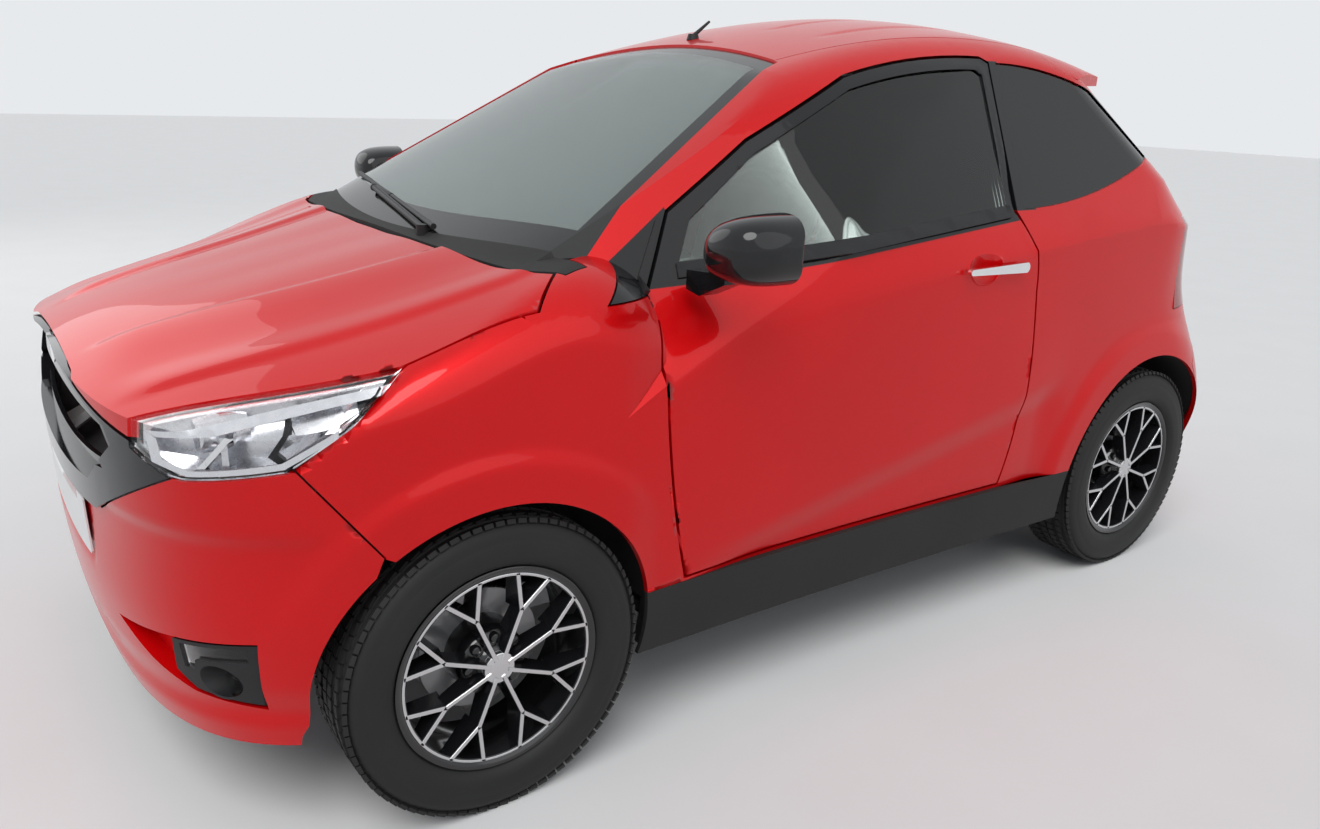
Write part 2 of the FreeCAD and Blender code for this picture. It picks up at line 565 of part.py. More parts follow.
# Bumper beams follow the inside of the bumpers
inside = body(skin + seat_gap)
front_beam = block(-470, 470, -560, -400, 415, 500).common(inside)
rear_beam = block(-470, 470, 2150, 2400, 330, 419).common(inside)
carrier = part_of(block(400, 560, -560, -380, 490, 790), inside).cut(body(60))
carrier = cut_all(carrier, side_prism(LAMP_SIDE, -seat_gap), bonnet_space, fog_tool,
                  prism(GRILLE_FACE, "y", at(-FAR), at(-300), -seat_gap).cut(body(MASK_DEPTH + seat_gap)))
posts = [block(305, 355, -440, -400, 180, 425), block(305, 355, 2120, 2160, 180, 400)]
posts += [post.mirror(V(0, 0, 0), V(1, 0, 0)) for post in posts]
carrier = keep_largest(carrier.common(block(0, FAR, -FAR, FAR, 500 + seat_gap, FAR)))
pair("lamp_carriers", carrier)
rail_side = size["rail_x"] + size["rail_width"] / 2 + seat_gap
tower = block(400, 424, -60, 60, size["rail_bottom"] + 20, 705.7)
pair("strut_towers", tower.fuse(block(rail_side, 424, -60, 60, size["rail_bottom"] + 20, size["rail_bottom"] + 45)))
frame = keep_largest(chassis.Shape.fuse([front_beam, rear_beam] + posts))
tow_thread = Part.makeCylinder(8, tow_reach, V(TOW_EYE[0], at(tow_y), TOW_EYE[1]), V(0, 1, 0))
node("chassis_frame", frame.cut([tow_thread, tow_mouth]))

# Floor: bulkhead, toe board, footwell, heel step, load floor
FLOOR_TOP = [(150, 880), (150, 430), (392, 236), (1300, 236), (1345, 440), (2262, 440), (2262, 560)]
FLOOR_UNDER = [(2282, 560), (2282, 420), (1362, 420), (1317, 216), (385, 216), (130, 421), (130, 880)]
floor = prism(FLOOR_TOP + FLOOR_UNDER, "x", -FAR / 2, FAR / 2).common(body(wall + seat_gap))
floor = floor.common(block(-640, 640, -FAR, FAR, 0, 960))
seat_stands = [block(60, 450, 790, 1180, 230, 300), block(-450, -60, 790, 1180, 230, 300)]
floor = cut_all(floor, *drums, *[drum.mirror(V(0, 0, 0), V(1, 0, 0)) for drum in drums]).fuse(seat_stands)
node("floor_tub", keep_largest(floor))

# Wheel arch liners: a drum with an inner wall, trimmed to the inside of the panels
king_pin = V(size["king_pin_x"], at(0), size["king_pin_z"])
pin_direction = V(-size["king_pin_lean"], 0, size["king_pin_rise"]).normalize()
liners = []
for y, inner, low in ((0, 430, 300), (size["wheelbase"], 556, 312)):
    outer_drum = across(inner, FAR, y, AXLE_Z, size["liner_radius"] + size["liner_wall"])
    inner_drum = across(inner + size["liner_wall"], FAR, y, AXLE_Z, size["liner_radius"])
    drum = cut_all(outer_drum, inner_drum).common(body(skin + seat_gap))
    liners.append(drum.common(block(0, FAR, -FAR, FAR, low, FAR)))
strut_hole = Part.makeCylinder(size["strut_radius"] + 12, 900, king_pin, pin_direction)
liners[0] = keep_largest(cut_all(liners[0], strut_hole))
liners[1] = keep_largest(liners[1])
liners += [liner.mirror(V(0, 0, 0), V(1, 0, 0)) for liner in liners]
node("arch_liners", Part.makeCompound(liners))

# Wheels
def sketch_on(parent, name, role, points, offset=0):
    """A closed polygon whose corners are bound to the sheet's cells."""
    drawing = parent.newObject("Sketcher::SketchObject", name)
    plane = next(item for item in parent.Origin.OriginFeatures if item.Role == role)
    drawing.AttachmentSupport = (plane, [""])
    drawing.MapMode = "FlatFace"
    if offset:
        drawing.setExpression("AttachmentOffset.Base.z", expression(offset))
    values = [(evaluate(x), evaluate(y)) for x, y in points]
    count = len(points)
    for i, (x, y) in enumerate(values):
        after = values[(i + 1) % count]
        drawing.addGeometry(Part.LineSegment(V(x, y, 0), V(after[0], after[1], 0)), False)
    for i in range(count):
        drawing.addConstraint(Sketcher.Constraint("Coincident", i, 2, (i + 1) % count, 1))
    for i, (x, y) in enumerate(points):
        for kind, text, value in (("DistanceX", x, values[i][0]), ("DistanceY", y, values[i][1])):
            number = drawing.addConstraint(Sketcher.Constraint(kind, -1, 1, i, 1, value))
            drawing.setExpression(f"Constraints[{number}]", expression(text))
    return drawing


def evaluate(text):
    """The value of an expression in the sheet's cells."""
    return float(doc.getObject("Sizes").evalExpression(expression(text)))


def revolved(parent, name, drawing, axis="H_Axis"):
    turned = parent.newObject("PartDesign::Revolution", name)
    turned.Profile = drawing
    turned.ReferenceAxis = (drawing, [axis])
    turned.Angle = 360
    drawing.Visibility = False
    return turned


# Half sections of the tyre and the rim: distance from the wheel's centre plane, radius
TYRE_SECTION = [("-rim_half", "bead_radius"), ("-rim_half", "rim_radius + 1"), ("-tyre_width / 2 + 2", "212"),
                ("-tyre_width / 2", "228"), ("-tyre_width / 2 + 4", "252"), ("-tyre_width / 2 + 12", "270"),
                ("-tyre_width / 2 + 24", "tyre_radius - 1.5"), ("-30", "tyre_radius"), ("30", "tyre_radius"),
                ("tyre_width / 2 - 24", "tyre_radius - 1.5"),
                ("tyre_width / 2 - 12", "270"), ("tyre_width / 2 - 4", "252"), ("tyre_width / 2", "228"),
                ("tyre_width / 2 - 2", "212"), ("rim_half", "rim_radius + 1"), ("rim_half", "bead_radius")]
RIM_SECTION = [("-rim_half", "bead_radius"), ("-rim_half", "rim_radius"), ("-rim_half - 6", "rim_radius"),
               ("-rim_half - 6", "bead_radius - rim_wall"), ("rim_half + 6", "bead_radius - rim_wall"),
               ("rim_half + 6", "rim_radius"), ("rim_half", "rim_radius"), ("rim_half", "bead_radius")]
HUB_SECTION = [("-64", "stub_radius + running_gap"), ("-64", "36"), ("-30", "36"), ("-30", "brake_disc_radius"),
               ("-30 + brake_disc_width", "brake_disc_radius"), ("-30 + brake_disc_width", "68"), ("-12", "68"), ("30", "58"), ("46", "40"), ("52", "28.5"), ("62", "28.5"), ("62", "0"),
               ("28", "0"), ("28", "stub_radius + running_gap")]
SPOKE_FACE = [("20", "6"), ("100", "6"), ("170.4", "38.8"), ("174.8", "29.8"), ("113", "0"), ("174.8", "-29.8"),
              ("170.4", "-38.8"), ("100", "-6"), ("20", "-6")]
SPOKES = 8


def wheel(place, axle, sign):
    """The tyre and the rim of one wheel."""
    for piece in ("tyre", "rim"):
        parent = doc.addObject("PartDesign::Body", f"{piece}_{place}")
        parent.Placement = FreeCAD.Placement(V(), FreeCAD.Rotation(V(0, 0, 1), 0 if sign > 0 else 180))
        parent.setExpression("Placement.Base.x", expression(f"{sign} * wheel_centre_x"))
        parent.setExpression("Placement.Base.y", expression(axle))
        parent.setExpression("Placement.Base.z", expression("tyre_radius"))
        if piece == "tyre":
            revolved(parent, f"tyre_ring_{place}", sketch_on(parent, f"tyre_section_{place}", "XY_Plane", TYRE_SECTION))
        else:
            revolved(parent, f"barrel_{place}", sketch_on(parent, f"rim_section_{place}", "XY_Plane", RIM_SECTION))
            spokes = parent.newObject("PartDesign::Pad", f"spoke_{place}")
            spokes.Profile = sketch_on(parent, f"spoke_face_{place}", "YZ_Plane", SPOKE_FACE, "spoke_plane")
            spokes.setExpression("Length", expression("spoke_depth"))
            spokes.Reversed = True
            doc.recompute()
            ring = parent.newObject("PartDesign::PolarPattern", f"spokes_{place}")
            ring.Originals = [spokes]
            ring.Axis = (next(i for i in parent.Origin.OriginFeatures if i.Role == "X_Axis"), [""])
            ring.Angle = 360
            ring.Occurrences = SPOKES
            parent.Tip = ring
            revolved(parent, f"hub_{place}", sketch_on(parent, f"hub_section_{place}", "XY_Plane", HUB_SECTION))
            parent.Tip = parent.Group[-1]
        final(f"{piece}_{place}", parent)


for place, axle, sign in (("front_left", "front_axle", 1), ("front_right", "front_axle", -1),
                          ("rear_left", "front_axle + wheelbase", 1), ("rear_right", "front_axle + wheelbase", -1)):
    wheel(place, axle, sign)
doc.recompute()

# Steering knuckles: upright, stub, strut tube and lower ear
stub_length = 28 - size["king_pin_gap"]
centre_x = size["wheel_centre_x"]


def along_pin(radius, low, high):
    """A cylinder on the steering axis between two distances from its lower end."""
    return Part.makeCylinder(radius, high - low, king_pin + pin_direction * low, pin_direction)


stub = Part.makeCylinder(size["stub_radius"], centre_x + 27 - 580, V(580, at(0), AXLE_Z), V(1, 0, 0))
upright = block(562, 594, -38, 38, 196, 360)
ear = along_pin(17, 6, 40)
strut = along_pin(size["strut_radius"], 152, 440)
neck = block(566, 594, -26, 26, 330, 400)
knuckle = upright.fuse([stub, ear, strut, neck]).cut(along_pin(9 + size["running_gap"], -10, 32))
left_and_right("knuckle", knuckle)

# Front arms with their ball pins, and the strut rods
ARM_PLAN = [(355.3, -120), (480, -52), (590, -24), (618, -20), (618, 20), (590, 24), (480, 52), (355.3, 120),
            (355.3, 70), (460, 0, "arc"), (355.3, -70)]
arm = prism(ARM_PLAN, "z", 142, 158).fuse(along_pin(9, -32, 30))
tower_top = block(402, 570, -60, 60, 706, 714)
rod_top = along_pin(10, 440 + seat_gap, 540)
pair("front_arms", keep_largest(arm))
pair("strut_rods", keep_largest(tower_top.fuse(rod_top).cut(block(0, FAR, -FAR, FAR, 714, FAR))))

# Rear axle: beam, trailing arms, springs and stubs
beam = Part.makeCylinder(26, 1150, V(-575, at(size["wheelbase"]), AXLE_Z), V(1, 0, 0))
axle_parts = []
for sign in (-1, 1):
    low, high = sorted((sign * 560, sign * (centre_x + 27)))
    axle_parts.append(Part.makeCylinder(size["stub_radius"], high - low, V(low, at(size["wheelbase"]), AXLE_Z),
                                        V(1, 0, 0)))
    low, high = sorted((sign * 380, sign * 430))
    axle_parts.append(block(low, high, size["wheelbase"] - 340, size["wheelbase"], AXLE_Z - 22, AXLE_Z + 22))
    axle_parts.append(Part.makeCylinder(42, 419.7 - AXLE_Z, V(sign * 405, at(size["wheelbase"]), AXLE_Z)))
    low, high = sorted((sign * 330, sign * 430))
    axle_parts.append(block(low, high, size["wheelbase"] - 350, size["wheelbase"] - 290,
                            size["rail_bottom"] + size["rail_height"] + seat_gap, AXLE_Z - 10))
node("rear_axle", beam.fuse(axle_parts))

# Exhaust: down pipe, long pipe, silencer with its hanger and tail pipe
EXHAUST_X = -150
exhaust_parts = [Part.makeCylinder(18, 230 - seat_gap - 160, V(EXHAUST_X, at(0), 160), V(0, 0, 1)),
                 Part.makeCylinder(18, 2030, V(EXHAUST_X, at(0), 160), V(0, 1, 0)),
                 Part.makeCylinder(18, 120, V(EXHAUST_X, at(2020), 160), V(0, 0, 1)),
                 Part.makeSphere(18, V(EXHAUST_X, at(0), 160)), Part.makeSphere(18, V(EXHAUST_X, at(2030), 160)),
                 block(-260, 160, 1975, 2110, 240, 370), block(-60, -40, 2030, 2050, 365, 419.7),
                 Part.makeCylinder(20, 110, V(-200, at(2090), 300), V(0, 1, -0.25)),
                 Part.makeCylinder(20, 90, V(-200, at(2160), 284), V(0, 0.4, -1))]
node("exhaust", exhaust_parts[0].fuse(exhaust_parts[1:]))

# Cabin fittings
DASH_SIDE = [(150.3, 870), (250, 930), (330, 945), (450, 905), (500, 830), (440, 650), (300, 570), (150.3, 570)]
dash = prism(DASH_SIDE, "x", -612, 612).common(body(60))
# the front inner corner of an opening door swings through a cone about its hinge
hinge_x, hinge_y = 735, 375
swings = [Part.makeCylinder(95, 130, V(hinge_x, at(hinge_y), 560)),
          Part.makeCone(95, 275, 270, V(hinge_x, at(hinge_y), 690))]
clear_of_dash = drums + swings
dash = cut_all(dash, *clear_of_dash, *[tool.mirror(V(0, 0, 0), V(1, 0, 0)) for tool in clear_of_dash])
dash = keep_largest(dash)
column_tilt = math.radians(size["steering_tilt"])
column = V(0, math.cos(column_tilt), math.sin(column_tilt))
wheel_middle = V(size["steering_x"], at(640), 800)
dash = dash.fuse(Part.makeCylinder(26, 175, wheel_middle - column * 215, column))
node("dashboard", dash)
rim_ring = Part.makeTorus(size["steering_rim_radius"], size["steering_rim_tube"], wheel_middle, column)
boss = Part.makeCylinder(48, 34, wheel_middle - column * 39.7, column)
arms = []
for turn in (0, 120, 240):
    arm_box = Part.makeBox(size["steering_rim_radius"] - 6, 30, 10, V(0, -15, -18))
    arm_box.rotate(V(0, 0, 0), V(0, 0, 1), turn - 90)
    arm_box.Placement = FreeCAD.Placement(wheel_middle, FreeCAD.Rotation(V(0, 0, 1), column)) * arm_box.Placement
    arms.append(arm_box)
node("steering_wheel", rim_ring.fuse([boss] + arms))

CUSHION_SIDE = [(770, 300.3), (760, 380, "arc"), (780, 430), (1200, 404), (1290, 372), (1280, 300.3)]
BACK_SIDE = [(1180, 420), (1280, 360), (1345, 450), (1440, 960), (1400, 1010, "arc"), (1340, 980)]
REST_SIDE = [(1392, 1030), (1395, 1150, "arc"), (1430, 1160), (1475, 1130), (1465, 1030)]
half_width = size["cushion_width"] / 2
seat_low, seat_high = size["cushion_x"] - half_width, size["cushion_x"] + half_width
cushion = prism(CUSHION_SIDE, "x", seat_low, seat_high)
back = cushion.fuse(prism(BACK_SIDE, "x", seat_low + 15, seat_high - 15))
back = back.fuse([prism(REST_SIDE, "x", size["cushion_x"] - 120, size["cushion_x"] + 120),
                  block(size["cushion_x"] - 40, size["cushion_x"] + 40, 1405, 1425, 960, 1060)])
pair("seats", back)

# Scuttle, wiper, antenna
node("scuttle", keep_largest(shell(0, 28, prism(SCUTTLE_PLAN, "z", 840, FAR))))
# Wiper: pivot, arm and blade just above the glass
WIPER_PIVOT = V(190, at(113), 956)
WIPER_ELBOW = V(-250, at(180), 992)
BLADE_NEAR = V(230, at(118), 964)
BLADE_FAR = V(-520, at(245), 1000)


def bar(start, end, radius):
    return Part.makeCylinder(radius, (end - start).Length, start, end - start)


wiper = bar(V(190, at(113), 925), V(190, at(113), 964), 14).fuse([
    bar(WIPER_PIVOT, WIPER_ELBOW, 7), Part.makeSphere(9, WIPER_ELBOW), bar(WIPER_ELBOW, (BLADE_NEAR + BLADE_FAR) / 2, 7),
    bar(BLADE_NEAR, BLADE_FAR, 6)])
node("wiper", keep_largest(wiper.cut(body(-seat_gap))))
node("antenna", Part.makeCone(16, 12, 14, V(0, at(905), 1349)).fuse(
    Part.makeCone(5, 3, 60, V(0, at(905), 1358), V(0, 0.8, 0.6))).cut(body(-seat_gap)))

# Mirrors and door handles
# Mirror head by station: x, front y, rear y, lowest z, highest z; the rear is flat for the glass
MIRROR_SECTIONS = [
    (770, 376, 462, 944, 1010),
    (786, 352, 468, 930, 1032),
    (832, 345, 474, 926, 1046),
    (880, 360, 474, 936, 1040),
    (899, 390, 470, 956, 1022),
    (905, 418, 464, 974, 1008),
]
MIRROR_FOOT = [(700, 902), (738, 896), (806, 926), (806, 948), (756, 940), (700, 936)]
mirror_rings = []
for x, front, rear, low, high in MIRROR_SECTIONS:
    front, rear, middle = at(front), at(rear), (low + high) / 2
    depth = rear - front
    mirror_rings.append(Part.Wire([
        bezier((x, front, middle), (x, front, high - 6), (x, front + depth * 0.35, high), (x, rear, high)),
        bezier((x, rear, high), (x, rear, low)),
        bezier((x, rear, low), (x, front + depth * 0.35, low), (x, front, low + 6), (x, front, middle))]))
mirror = Part.makeLoft(mirror_rings, True, False).fuse(prism(MIRROR_FOOT, "y", at(384), at(424)))
left_and_right("mirror", keep_largest(mirror.cut(body(-seat_gap))))
HANDLE_SIDE = [(1104, 880), (1290, 874), (1299, 885, "arc"), (1290, 897), (1104, 893), (1097, 887, "arc")]
handle = prism(HANDLE_SIDE, "x", 747, 757)
handle = handle.fuse([block(700, 748, 1104, 1120, 881, 892), block(700, 748, 1272, 1288, 878, 894)])
left_and_right("handle", keep_largest(handle.cut(body(-seat_gap))))

doc.recompute()
for item in doc.Objects:
    assert "Invalid" not in item.State and "Error" not in item.State, item.Label
for label, feature in nodes.items():
    shape = feature.Shape
    assert not shape.isNull() and shape.isValid() and shape.Volume > 0, label
    print(label, len(shape.Solids), round(shape.Volume / 1e6, 2))
os.makedirs("parts", exist_ok=True)
for label, feature in nodes.items():
    feature.Shape.exportStep(f"parts/{label}.step")
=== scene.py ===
# %% [markdown]
# # A two-seat microcar, dressed for its portrait
# The car arrives as plain solids from its CAD file, already at real size and in place.
# This lesson gives them paint, glass, rubber and trim, and adds the parts that are too
# small or too soft for CAD. Nothing is moved: each piece rides on the body it belongs to.

import json
import math

import bmesh
import bpy
import numpy as np
from mathutils import Matrix, Vector
from mathutils.bvhtree import BVHTree
from mathutils.geometry import delaunay_2d_cdt

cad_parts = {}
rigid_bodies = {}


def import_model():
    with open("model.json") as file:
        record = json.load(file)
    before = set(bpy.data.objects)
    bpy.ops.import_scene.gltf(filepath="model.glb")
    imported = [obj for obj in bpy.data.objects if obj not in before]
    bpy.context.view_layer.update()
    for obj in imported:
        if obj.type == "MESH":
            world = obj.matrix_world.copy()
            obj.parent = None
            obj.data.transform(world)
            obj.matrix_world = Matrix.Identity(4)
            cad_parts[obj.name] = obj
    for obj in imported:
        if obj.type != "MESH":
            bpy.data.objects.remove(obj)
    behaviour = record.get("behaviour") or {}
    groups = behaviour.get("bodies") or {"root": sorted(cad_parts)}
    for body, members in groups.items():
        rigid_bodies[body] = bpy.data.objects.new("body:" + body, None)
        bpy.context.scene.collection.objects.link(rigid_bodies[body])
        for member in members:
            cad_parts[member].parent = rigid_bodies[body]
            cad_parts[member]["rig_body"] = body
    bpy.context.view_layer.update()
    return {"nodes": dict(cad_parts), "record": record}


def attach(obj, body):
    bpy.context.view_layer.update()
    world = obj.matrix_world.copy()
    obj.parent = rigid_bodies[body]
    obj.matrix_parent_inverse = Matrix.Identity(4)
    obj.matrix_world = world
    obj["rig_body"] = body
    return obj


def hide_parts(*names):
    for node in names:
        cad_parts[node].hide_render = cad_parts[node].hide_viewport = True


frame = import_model()
node_slot = {row["node"]: row["material_slot"] for row in frame["record"]["subparts"]}
node_body = {name: piece["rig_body"] for name, piece in frame["nodes"].items()}

# %% [markdown]
# ## Shader maths as plain expressions
# A finish is easier to read as a formula than as a web of links. `Signal` wraps one
# socket, and its operators add the Math nodes. Every other node comes from
# `Finish.node`, which takes the type, the settings and the values of its sockets.

# %% Signals and finishes
class Signal:
    """One output socket of a finish, with arithmetic."""

    def __init__(self, finish, socket):
        self.finish = finish
        self.socket = socket

    def math(self, operation, *values):
        return self.finish.node("ShaderNodeMath", {"operation": operation}, dict(enumerate(values)))

    def __add__(self, other):
        return self.math("ADD", self, other)

    __radd__ = __add__

    def __mul__(self, other):
        return self.math("MULTIPLY", self, other)

    __rmul__ = __mul__

    def __sub__(self, other):
        return self.math("SUBTRACT", self, other)

    def __rsub__(self, other):
        return self.math("SUBTRACT", other, self)

    def __pow__(self, other):
        return self.math("POWER", self, other)

    def either(self, other):
        """The greater of two, so that of two masks one is enough."""
        return self.math("MAXIMUM", self, other)

    def above(self, edge, soft):
        """0 below edge, 1 above it, over a soft width."""
        settings = {"interpolation_type": "SMOOTHSTEP", "clamp": True}
        sockets = {"Value": self, "From Min": edge - soft, "From Max": edge + soft}
        return self.finish.node("ShaderNodeMapRange", settings, sockets, "Result")


class Finish:
    """A material under construction."""

    def __init__(self, name):
        self.material = bpy.data.materials.new(name)
        self.material.use_nodes = True
        self.tree = self.material.node_tree
        self.tree.nodes.clear()
        self.out = self.tree.nodes.new("ShaderNodeOutputMaterial")

    def node(self, kind, settings=None, sockets=None, output=0):
        made = self.tree.nodes.new(kind)
        for name, value in (settings or {}).items():
            setattr(made, name, value)
        for name, value in (sockets or {}).items():
            if isinstance(value, Signal):
                self.tree.links.new(value.socket, made.inputs[name])
            else:
                made.inputs[name].default_value = value
        return Signal(self, made.outputs[output])

    def place(self):
        """Object coordinates, which stay with the piece as it moves."""
        return self.node("ShaderNodeTexCoord", output="Object")

    def stretched(self, scale):
        sockets = {"Vector": self.place(), "Scale": scale}
        return self.node("ShaderNodeMapping", {"vector_type": "POINT"}, sockets)

    def noise(self, scale, detail=3.0, rough=0.5, place=None):
        sockets = {"Vector": place or self.place(), "Scale": scale, "Detail": detail, "Roughness": rough}
        return self.node("ShaderNodeTexNoise", {"noise_dimensions": "3D"}, sockets, "Fac")

    def cells(self, scale, output="Distance"):
        sockets = {"Vector": self.place(), "Scale": scale}
        settings = {"voronoi_dimensions": "3D", "feature": "F1"}
        return self.node("ShaderNodeTexVoronoi", settings, sockets, output)

    def blend(self, factor, first, second):
        settings = {"data_type": "RGBA", "blend_type": "MIX", "clamp_factor": True}
        return self.node("ShaderNodeMix", settings, {0: factor, 6: first, 7: second}, 2)

    def bump(self, height, depth, strength=1.0):
        sockets = {"Strength": strength, "Distance": depth, "Height": height}
        return self.node("ShaderNodeBump", {}, sockets)

    def surface(self, **sockets):
        named = {name.replace("_", " "): value for name, value in sockets.items()}
        shader = self.node("ShaderNodeBsdfPrincipled", {}, named)
        self.tree.links.new(shader.socket, self.out.inputs["Surface"])
        return self.material


def colour(red, green, blue):
    return (red, green, blue, 1.0)


print("finish bench ready")

# %% [markdown]
# ## Black plastics
# The mask, the mirror caps and the window frames are polished black; the sills, the lamp
# pods and the wiper are moulded black with a fine grain. A cell pattern gives the small
# pits of moulded plastic, and a slow noise keeps the tone from looking like one flat fill.

# %% Black plastics
def black_polished():
    bench = Finish("polished_black")
    patchy_share = bench.noise(30, 3)
    return bench.surface(
        Base_Color=bench.blend(patchy_share, colour(0.006, 0.006, 0.007), colour(0.012, 0.012, 0.013)),
        Roughness=patchy_share * 0.05 + 0.08,
        Specular_IOR_Level=0.25,
        Coat_Weight=0.35,
        Coat_Roughness=0.03,
    )


def moulded(name, dark, light, rough, grain=900, depth=0.0002):
    """Grained plastic: small rounded pits and a slow change of tone."""
    bench = Finish(name)
    pits = bench.cells(grain)
    drift = bench.noise(6, 4)
    return bench.surface(
        Base_Color=bench.blend(drift, dark, light),
        Roughness=drift * 0.12 + rough,
        Specular_IOR_Level=0.25,
        Normal=bench.bump(pits, depth, 0.5),
    )


print("black plastics ready")

# %% [markdown]
# ## Window glass
# Each window is a closed sheet a few millimetres thick. A refracting shader would bend the
# view twice and darken the cabin, so the sheet only tints what is behind it, and a Fresnel
# factor mixes in a sharp mirror that grows at a low angle.

# %% Glass
def window(name, tint, fresnel=1.5):
    """Thin sheet: it lets tinted light through and mirrors more at a low angle."""
    bench = Finish(name)
    through = bench.node("ShaderNodeBsdfTransparent", {}, {"Color": tint})
    mirror = bench.node("ShaderNodeBsdfGlossy", {}, {"Color": (1, 1, 1, 1), "Roughness": 0.0})
    angle = bench.node("ShaderNodeFresnel", {}, {"IOR": fresnel})
    mixed = bench.node("ShaderNodeMixShader", {}, {0: angle, 1: through, 2: mirror})
    bench.tree.links.new(mixed.socket, bench.out.inputs["Surface"])
    return bench.material


print("window glass ready")

# %% [markdown]
# ## Rubber, metal, cloth and lamp lenses
# Tyre rubber is almost black, with dust that lightens it in patches. Bare metals differ by
# colour and roughness only. The seat cloth has a weave under a millimetre across, which is
# a cell pattern that also lifts the surface a little.

# %% Rubber, metal, cloth and lamps
def rubber():
    bench = Finish("tyre_rubber")
    dust = bench.noise(9, 5)
    fine = bench.noise(420, 2)
    return bench.surface(
        Base_Color=bench.blend(dust, colour(0.006, 0.006, 0.006), colour(0.016, 0.0155, 0.015)),
        Roughness=dust * 0.15 + 0.55,
        Specular_IOR_Level=0.35,
        Normal=bench.bump(fine, 0.0002, 0.4),
    )


def metal(name, dark, light, rough, scale=60):
    bench = Finish(name)
    drift = bench.noise(scale, 3)
    return bench.surface(
        Base_Color=bench.blend(drift, dark, light),
        Metallic=1.0,
        Roughness=drift * 0.1 + rough,
    )


def cloth():
    bench = Finish("seat_cloth")
    weave = bench.cells(700)
    drift = bench.noise(14, 3)
    return bench.surface(
        Base_Color=bench.blend(
            weave * 0.6 + drift * 0.4,
            colour(0.09, 0.09, 0.095),
            colour(0.22, 0.22, 0.23),
        ),
        Roughness=0.9,
        Sheen_Weight=0.25,
        Normal=bench.bump(weave, 0.0004, 0.6),
    )


def lamp_red():
    bench = Finish("red_lamp_lens")
    ribs = bench.noise(60, 2)
    return bench.surface(
        Base_Color=bench.blend(ribs, colour(0.22, 0.001, 0.002), colour(0.36, 0.002, 0.004)),
        Roughness=0.12,
        Specular_IOR_Level=0.2,
        Coat_Weight=0.4,
    )


SATIN = colour(0.012, 0.012, 0.013), colour(0.02, 0.02, 0.021)
MATT = colour(0.014, 0.014, 0.014), colour(0.03, 0.029, 0.028)
CABIN = colour(0.03, 0.03, 0.032), colour(0.05, 0.05, 0.053)
UNDERSIDE = colour(0.01, 0.01, 0.01), colour(0.022, 0.021, 0.02)
SILVERED = colour(0.66, 0.67, 0.70), colour(0.8, 0.8, 0.83)
STEEL = colour(0.18, 0.17, 0.16), colour(0.3, 0.29, 0.28)
ALLOY = colour(0.2, 0.2, 0.21), colour(0.32, 0.32, 0.33)
PIPE = colour(0.3, 0.27, 0.24), colour(0.45, 0.43, 0.4)
CHROME = colour(0.82, 0.82, 0.84), colour(0.9, 0.9, 0.91)
finishes = {
    "black_gloss": black_polished(),
    "black_satin": moulded("satin_black", *SATIN, 0.38),
    "black_matt": moulded("matt_black", *MATT, 0.62),
    "tinted_glass": window("tinted_glass", (0.80, 0.86, 0.83, 1)),
    "privacy_glass": window("privacy_glass", (0.10, 0.10, 0.11, 1)),
    "lamp_glass": window("lamp_cover", (0.97, 0.97, 0.97, 1), 1.15),
    "lamp_reflector": metal("lamp_reflector", *SILVERED, 0.22),
    "red_lens": lamp_red(),
    "tyre_rubber": rubber(),
    "cast_steel": metal("cast_steel", *STEEL, 0.45),
    "frame_alloy": metal("frame_alloy", *ALLOY, 0.5),
    "exhaust_steel": metal("exhaust_steel", *PIPE, 0.35),
    "chrome_trim": metal("chrome_trim", *CHROME, 0.05),
    "cabin_plastic": moulded("cabin_plastic", *CABIN, 0.55, 600, 0.0004),
    "seat_cloth": cloth(),
    "floor_plastic": moulded("floor_plastic", *UNDERSIDE, 0.75, 300, 0.0006),
}
print("finishes", len(finishes))

# %% [markdown]
# ## Pearl red paint with black zones
# The body is a pearl red: a red base coat with fine flakes under clear coat. The flakes are
# cells under a millimetre across that vary the base coat. The window frames, the pillar and
# the foot of the sail panel are black on the same pressing as the red, so they are zones of
# one material, each given by lines over the side view, instead of separate pieces.

# %% Place on the car and the red paint
PAINT_DEEP = (0.50, 0.0, 0.001)
PAINT_BRIGHT = (0.76, 0.001, 0.004)
# The front axle lies this many metres ahead of the origin; the other two are in millimetres
FRONT_AXLE = 0.9025
WHEELBASE = 1922.0
AXLE_HEIGHT = 278.5


def outer_place(bench):
    """Distances in millimetres: out from the middle plane, back from the front axle, up."""
    split = bench.node("ShaderNodeSeparateXYZ", {}, {"Vector": bench.place()}).socket.node
    x, y, z = (Signal(bench, split.outputs[name]) for name in "XYZ")
    return x.math("ABSOLUTE", x) * 1000, (y + FRONT_AXLE) * 1000, z * 1000


